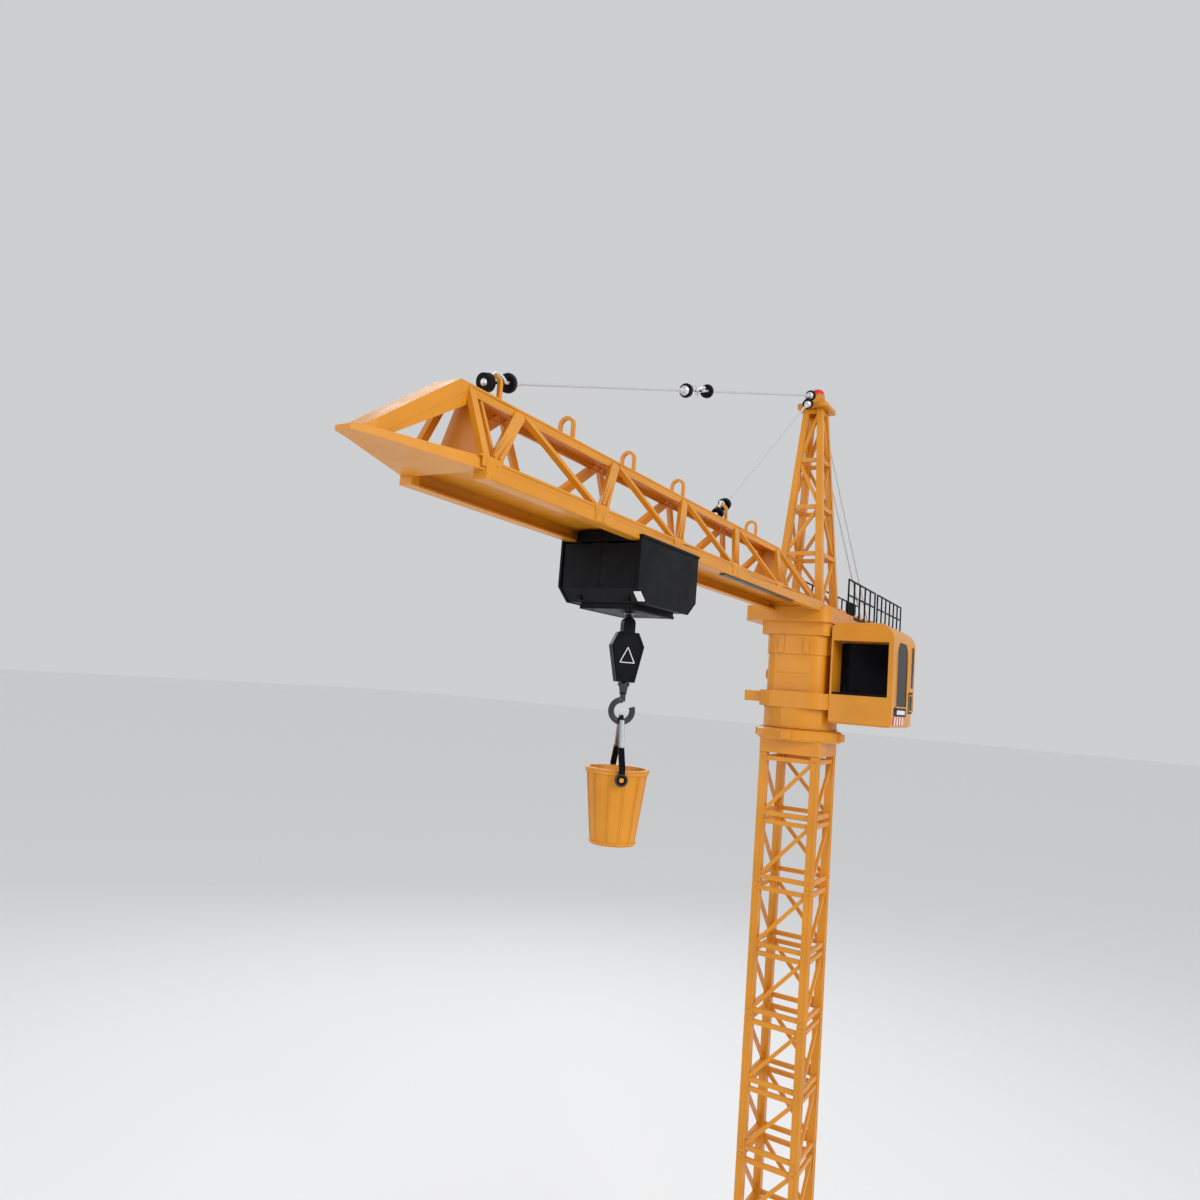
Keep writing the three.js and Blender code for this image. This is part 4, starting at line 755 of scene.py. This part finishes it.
# ---------------------------------------------------------------- A-frame and ties
def build_tie_details():
    tip_start, tip_end = rod_ends("tie_rod_outer")
    inner_start, inner_end = rod_ends("tie_rod_inner")
    low_start, low_end = rod_ends("tie_rod_short")
    disc = 2.0  # half the thickness of a clip's disc
    seat = 2.4  # from the rod's end to the middle of the disc

    def ferrule(bm, place, way):
        steps = ((-0.6, 3.9), (0.5, 3.9), (1.0, 2.9), (3.0, 2.2), (6.6, 2.0), (7.2, 1.5), (8.2, 1.4))
        add_turned(bm, place, way, steps, 20)

    def hook_over(bm, start, way, reach, first):
        """Forked hook from a disc over an eyelet and down to the disc on the other side."""
        back = start - way * seat
        eye = back - way * first
        end = eye - way * reach
        for spread in (-1.7, 1.7):
            side = Vector((0, spread, 0))
            places = [back - way * disc + side, back - way * (disc + 2.2) + side,
                      back - way * (first * 0.55) + side * 0.8 + UP * 3.0,
                      eye + way * 2.2 + side * 0.5 + UP * 5.4,
                      eye + side * 0.3 + UP * 6.0, eye - way * 2.4 + UP * 4.6,
                      end + way * (disc + 0.4) + UP * 1.4, end + way * (disc - 0.4)]
            add_tube(bm, smooth(places), 1.0, 10)
        button = end - way * disc
        steps = ((-0.3, 2.2), (0.6, 2.2), (1.4, 1.5), (1.8, 0.6))
        add_turned(bm, button, -way, steps, 14)

    tip_way = (tip_end - tip_start).normalized()
    low_way = (low_end - low_start).normalized()

    def tip_metal(bm):
        ferrule(bm, tip_start, tip_way)
        hook_over(bm, tip_start, tip_way, 6.8, 13.2)

    def low_metal(bm):
        ferrule(bm, low_start, low_way)
        hook_over(bm, low_start, low_way, 9.4, 9.2)

    add_piece("tip_hook", tip_metal, "steel", "turret")
    add_piece("low_hook", low_metal, "steel", "turret")

    def link_metal(bm):
        ferrule(bm, tip_end, -tip_way)
        ferrule(bm, inner_start, tip_way)
        first, last = tip_end + tip_way * seat, inner_start - tip_way * seat
        middle = (first + last) / 2
        upright, tilted = Vector((0, 0.25, 1)).normalized(), Vector((0, 1, -0.55)).normalized()
        for start, sign, plane in ((first, 1, upright), (last, -1, tilted)):
            way = tip_way * sign
            centre = middle - way * 3.2
            ring = circle(centre, 5.4, 24, way, plane)
            add_tube(bm, ring, 1.05, 10, True)
            for spread in (-1.6, 1.6):
                side = UP.cross(tip_way) * spread
                add_tube(bm, [start + way * (disc - 0.3) + side, start + way * 6 + side,
                              centre - way * 4.6 + side * 0.8], 1.0, 10)

    add_piece("middle_link", link_metal, "steel", "turret")

    def head_metal(bm):
        ferrule(bm, inner_end, -tip_way)
        ferrule(bm, low_end, -low_way)

    add_piece("head_ferrules", head_metal, "steel", "turret")

    def clip_rims(bm):
        places = [(tip_start - tip_way * seat, tip_way), (tip_end + tip_way * seat, tip_way),
                  (inner_start - tip_way * seat, tip_way), (inner_end + tip_way * seat, tip_way),
                  (low_start - low_way * seat, low_way), (low_end + low_way * seat, low_way)]
        for centre, way in places:
            side = way.cross(Y_AXIS).normalized()
            add_tube(bm, circle(centre, 5.1, 24, side, Y_AXIS), 0.75, 8, True)

    add_piece("clip_rims", clip_rims, "rubber", "turret")


def build_frame_details():
    low, high = span("a_frame")
    cap_low = span("a_frame_cap")[0]

    def gussets(bm):
        height = high.z - low.z
        for share in (0.265, 0.5, 0.74):
            z = low.z + height * share
            hx = 33 + (12.6 - 33) * (z + 6) / (height + 0.3)
            hy = 27.6 + (10.8 - 27.6) * (z + 6) / (height + 0.3)
            for sx in (-1, 1):
                for sy in (-1, 1):
                    x0, x1 = sorted((sx * (hx - 8.6), sx * (hx - 1.2)))
                    y0, y1 = sorted((sy * (hy - 0.9), sy * (hy + 0.25)))
                    add_box(bm, (x0, y0, z - 3.2), (x1, y1, z + 3.2))

    add_piece("a_frame_gussets", gussets, "yellow", "turret", 0.3)

    def cap_details(bm):
        for sx in (-1, 1):
            for sy in (-1, 1):
                add_screw(bm, (sx * 15.6, sy * 13.6, cap_low.z + 4.9), (0, 0, 1), 1.4, 0.7)
        add_box(bm, (-17, -17.4, cap_low.z + 1.2), (17, -16.8, cap_low.z + 3.4))
        add_box(bm, (-19.4, -14, cap_low.z + 1.2), (-18.8, 14, cap_low.z + 3.4))

    add_piece("cap_details", cap_details, "yellow", "turret", 0.15)

    def beacon_ring(bm):
        lamp_low, lamp_high = span("beacon")
        centre = Vector(((lamp_low.x + lamp_high.x) / 2, 0, lamp_low.z + 0.8))
        ring = circle(centre, 7.9, 24, X_AXIS, Y_AXIS)
        add_tube(bm, ring, 0.8, 8, True)

    add_piece("beacon_ring", beacon_ring, "yellow", "turret")


# ---------------------------------------------------------------- jib
PANEL = 107.9  # length of one lattice panel
POST_LEAN = 47.7  # how far a strut's foot stands from its head, along the jib
CROWN = 42.6  # level of the top chords
UPPER_ROOT = -122.3  # where the top chords end
MOULDING_JOINTS = (-493.7, -277.9)


def build_jib_details():
    feet = [UPPER_ROOT - POST_LEAN - PANEL * i for i in range(5)]

    def chord_lines(x0, x1):
        def build(bm):
            for side in (-1, 1):
                y0, y1 = sorted((side * 28.3, side * 29.0))
                add_box(bm, (x0 + 0.6, y0, -1.6), (x1 - 0.6, y1, -0.1))
                y0, y1 = sorted((side * 29.3, side * 29.9))
                add_box(bm, (x0 + 0.6, y0, -10.6), (x1 - 0.6, y1, -9.2))
                y0, y1 = sorted((side * 7.9, side * 9.0))
                add_box(bm, (x0 + 0.6, y0, CROWN - 1.4), (x1 - 0.6, y1, CROWN - 0.1))
        return build

    for name in ("tip", "middle", "root"):
        low, high = span(f"jib_{name}")
        x0 = low.x + 71 if name == "tip" else low.x
        x1 = -122 if name == "root" else high.x
        add_piece(f"jib_{name}_edges", chord_lines(x0, x1), "yellow", "turret", 0.2)

    def pads(bm):
        for x in feet:
            for side in (-1, 1):
                y0, y1 = sorted((side * 24.8, side * 29.1))
                add_box(bm, (x - 9, y0, -0.2), (x + 9, y1, 1.0))
                y0, y1 = sorted((side * 28.2, side * 29.3))
                add_box(bm, (x - 7.5, y0, -4.9), (x + 7.5, y1, 0.4))
                add_screw(bm, (x - 4.2, side * 29.2, -2.4), (0, side, 0), 1.0, 0.6)
                add_screw(bm, (x + 4.2, side * 29.2, -2.4), (0, side, 0), 1.0, 0.6)

    add_piece("jib_node_pads", pads, "yellow", "turret", 0.2)

    def strut_lines(bm):
        for x in feet:
            for side in (-1, 1):
                for shift, lean in ((2.4, POST_LEAN - 4.2), (6.6, POST_LEAN + 0.2)):
                    start = Vector((x + shift, side * 28.0, 2))
                    end = Vector((x + lean, side * 9.1, CROWN - 6))
                    add_bar(bm, start, end, 1.0, 1.1, (1, 0, 0))

    add_piece("jib_strut_edges", strut_lines, "yellow", "turret", 0.15)

    def beam_seams(bm):
        nose = span("jib_tip")[0].x
        for side in (-1, 1):
            start = Vector((nose + 16, side * 8.3, -0.4))
            end = Vector((-601, side * 8.3, CROWN - 3.4))
            add_bar(bm, start, end, 1.1, 1.0, (0, 1, 0))

    add_piece("jib_nose_edges", beam_seams, "yellow", "turret", 0.15)

    def splice(bm):
        for x in MOULDING_JOINTS:
            for side in (-1, 1):
                y0, y1 = sorted((side * 29.4, side * 30.3))
                add_box(bm, (x - 8, y0, -10.4), (x - 0.4, y1, -5.6))
                add_box(bm, (x + 0.4, y0, -10.4), (x + 8, y1, -5.6))

    add_piece("jib_splices", splice, "yellow", "turret", 0.2)


def build_counter_details():
    box_low, box_high = span("counterweight_box")

    def planks(bm):
        for i in range(11):
            x = 70 + i * 24
            add_box(bm, (x, -23.5, -0.3), (x + 20, 23.5, 0.55))

    add_piece("walkway_panels", planks, "yellow", "turret", 0.25)

    def panel_lines(bm):
        for side in (-1, 1):
            y0, y1 = sorted((side * 27.8, side * 28.7))
            for x in (box_low.x + 7, box_high.x - 8.2):
                add_box(bm, (x, y0, box_low.z + 7), (x + 1.2, y1, box_high.z - 6))
            for z in (box_low.z + 7, (box_low.z + box_high.z) / 2, box_high.z - 7.2):
                add_box(bm, (box_low.x + 7, y0, z), (box_high.x - 7, y1, z + 1.2))
        for x, out in ((box_low.x, -1), (box_high.x, 1)):
            x0, x1 = sorted((x - out * 0.3, x + out * 0.6))
            for y in (-20, 18.8):
                add_box(bm, (x0, y, box_low.z + 8), (x1, y + 1.2, box_high.z - 6))
            for z in (box_low.z + 8, box_high.z - 7.2):
                add_box(bm, (x0, -20, z), (x1, 20, z + 1.2))

    add_piece("counterweight_panels", panel_lines, "black", "turret", 0.25)

    def screws(bm):
        for side in (-1, 1):
            for x in (box_low.x + 12, box_high.x - 12):
                for z in (box_low.z + 12, box_high.z - 12):
                    add_screw(bm, (x, side * 28, z), (0, side, 0), 1.8, 0.9)

    add_piece("counterweight_screws", screws, "dark_steel", "turret")

    def comb(bm):
        for side in (-1, 1):
            for i in range(5):
                x = 64 + i * 4.4
                y0, y1 = sorted((side * 28.9, side * 30.4))
                add_box(bm, (x, y0, -3), (x + 1.5, y1, 12))

    add_piece("railing_comb", comb, "black", "turret", 0.25)


# ---------------------------------------------------------------- trolley, block, bail and bucket
def build_trolley_details():
    low, high = span("trolley_housing")
    plate_low = span("trolley_plate_near")[0]
    middle = (low.x + high.x) / 2
    skirt_top = min(high.z + 9.4, span("jib_middle")[0].z - 0.5)

    def seams(bm):
        for x, out in ((low.x, -1), (high.x, 1)):
            x0, x1 = sorted((x - out * 0.3, x + out * 0.35))
            add_box(bm, (x0, -0.5, low.z + 12.6), (x1, 0.5, high.z - 0.3))
            x0, x1 = sorted((x, x - out * 1.5))
            add_box(bm, (x0, -20.4, high.z - 1.4), (x1, 20.4, skirt_top))
        add_box(bm, (middle - 30.5, -21.5, low.z - 0.5), (middle + 30.5, 21.5, low.z + 0.4))

    add_piece("trolley_seams", seams, "black", "trolley", 0.2)

    def label(bm):
        start = Vector((plate_low.x + 2.4, plate_low.y + 3, plate_low.z + 7.1))
        end = Vector((plate_low.x + 9.3, plate_low.y + 3, plate_low.z + 1.6))
        add_bar(bm, start, end, 5.2, 0.9, (0, 1, 0))

    add_piece("trolley_label", label, "white", "trolley", 0.3)

    def tray(bm):
        for side in (-1, 1):
            y0, y1 = sorted((side * 19.8, side * 21.6))
            add_box(bm, (middle - 30.4, y0, low.z - 0.8), (middle + 30.4, y1, low.z + 1.4))
        for x in (middle - 24, middle + 24):
            for y in (-15, 15):
                add_screw(bm, (x, y, low.z), (0, 0, -1), 1.9, 0.8)

    add_piece("trolley_tray_lips", tray, "black", "trolley", 0.25)

    def guide(bm):
        cord = span("hoist_cord")
        centre = Vector(((cord[0].x + cord[1].x) / 2, 0, low.z + 0.1))
        ring = circle(centre, 3.2, 20, X_AXIS, Y_AXIS)
        add_tube(bm, ring, 0.8, 8, True)

    add_piece("cord_guide", guide, "steel", "trolley")


BLOCK_TURN = 43.6  # degrees from the jib to the normal of the block's faces
BLOCK_HALF = 5
BAIL_TURN = 37  # degrees
BUCKET_RIBS = 12


def build_hoist_details():
    cord_low, cord_high = span("hoist_cord")
    cx = (cord_low.x + cord_high.x) / 2
    turn = math.radians(BLOCK_TURN)
    face = Vector((math.cos(turn), math.sin(turn), 0))  # normal of the block's faces
    flat = Vector((-math.sin(turn), math.cos(turn), 0))
    axis = Vector((cx, 0, 0))

    def on_face(side, across, z, out=0.0):
        return axis + face * side * (BLOCK_HALF + out) + flat * across + Vector((0, 0, z))

    def bolts(bm):
        for side in (-1, 1):
            for across, z in ((0, -62.8), (-3.8, -100.5), (3.8, -100.5)):
                place = on_face(side, across, z, -0.1)
                add_screw(bm, place, face * side, 1.2, 0.7)

    add_piece("block_bolts", bolts, "black", "block")

    def rim(bm):
        shape = ((-5.6, -103.6), (5.6, -103.6), (10.4, -79.2), (6.6, -70.6), (-6.6, -70.6), (-10.4, -79.2))
        for side in (-1, 1):
            for i in range(len(shape)):
                a, b = shape[i], shape[(i + 1) % len(shape)]
                add_bar(bm, on_face(side, *a, 0.1), on_face(side, *b, 0.1), 0.8, 0.9, face)

    add_piece("block_rim", rim, "black", "block", 0.15)

    def mark(bm):
        corners = ((-5.2, -90.8), (5.2, -90.8), (0, -80.0))
        for side in (-1, 1):
            for i in range(3):
                a, b = corners[i], corners[(i + 1) % 3]
                add_bar(bm, on_face(side, *a, 0.05), on_face(side, *b, 0.05), 0.55, 0.6, face)

    add_piece("block_mark", mark, "white", "block", 0.05)

    def thimble(bm):
        top = axis + Vector((0, 0, -58.6))
        steps = ((-0.4, 2.6), (1.2, 2.4), (2.6, 1.5), (4.6, 1.1), (5.0, 0.8))
        add_turned(bm, top, UP, steps, 16)

    add_piece("cord_thimble", thimble, "dark_steel", "block")

    def collar(bm):
        top = axis + Vector((0, 0, -104.8))
        steps = ((0, 4.0), (-1.0, 4.2), (-2.2, 4.2), (-3.2, 3.2), (-6.0, 2.7), (-8.4, 2.5))
        add_turned(bm, top, UP, steps, 20)

    add_piece("hook_collar", collar, "dark_steel", "hook")

    bail_turn = math.radians(BAIL_TURN)
    along = Vector((-math.cos(bail_turn), -math.sin(bail_turn), 0))
    across = Vector((math.sin(bail_turn), -math.cos(bail_turn), 0))

    def eyes(bm):
        for side in (-1, 1):
            centre = axis + along * side * 25 + Vector((0, 0, -170.5))
            ring = circle(centre, 3.6, 24, across, UP)
            add_tube(bm, ring, 1.0, 8, True)

    add_piece("bail_eyes", eyes, "dark_steel", "bail")

    def sleeves(bm):
        for side in (-1, 1):
            start = axis + along * side * 4.6 + Vector((0, 0, -129.6))
            end = axis + along * side * 12.4 + Vector((0, 0, -150.4))
            add_bar(bm, start.lerp(end, 0.08), end, 3.5, 2.9, across)

    add_piece("bail_sleeves", sleeves, "dull_steel", "bail", 0.5)

    bucket_low, bucket_high = span("bucket")
    rim_z, floor_z = bucket_high.z, bucket_low.z

    def ribs(bm):
        for i in range(BUCKET_RIBS):
            for shift in (-0.04, 0.04):
                angle = 2 * math.pi * (i + 0.5) / BUCKET_RIBS + shift
                way = Vector((math.cos(angle), math.sin(angle), 0))
                side = Vector((-way.y, way.x, 0))
                top = axis + way * 21.1 + Vector((0, 0, rim_z - 4.2))
                foot = axis + way * 15.8 + Vector((0, 0, floor_z + 3.2))
                add_bar(bm, foot, top, 0.7, 0.9, side)

    add_piece("bucket_ribs", ribs, "yellow", "bucket", 0.2)

    def beads(bm):
        hoops = ((22.2, rim_z - 0.7, 0.7), (15.9, floor_z + 1.6, 0.8), (20.6, rim_z - 6.2, 0.45))
        for radius, z, wire in hoops:
            centre = axis + Vector((0, 0, z))
            ring = circle(centre, radius, 48, X_AXIS, Y_AXIS)
            add_tube(bm, ring, wire, 8, True)

    add_piece("bucket_beads", beads, "yellow", "bucket")


ROPE_STEPS = 40
ROPE_TWISTS = 5
ROPE_LAY = 0.3  # radius on which the strands lie
ROPE_STRAND = 0.42


def build_cord():
    low, high = span("hoist_cord")
    cx = (low.x + high.x) / 2

    def strand(bm):
        for phase in (0.0, 2 * math.pi / 3, 4 * math.pi / 3):
            places = []
            for i in range(ROPE_STEPS + 1):
                z = high.z + (low.z - high.z) * i / ROPE_STEPS
                angle = phase + 2 * math.pi * ROPE_TWISTS * i / ROPE_STEPS
                places.append((cx + ROPE_LAY * math.cos(angle), ROPE_LAY * math.sin(angle), z))
            add_tube(bm, places, ROPE_STRAND, 8)

    cord = add_piece("hoist_rope", strand, "cord", None)
    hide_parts("hoist_cord")
    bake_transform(cord)


make_camera()
make_studio()
finish_nodes()
build_base_details()
build_mast_details()
build_turret_details()
build_cab_details()
build_tie_details()
build_frame_details()
build_jib_details()
build_counter_details()
build_trolley_details()
build_hoist_details()
build_cord()
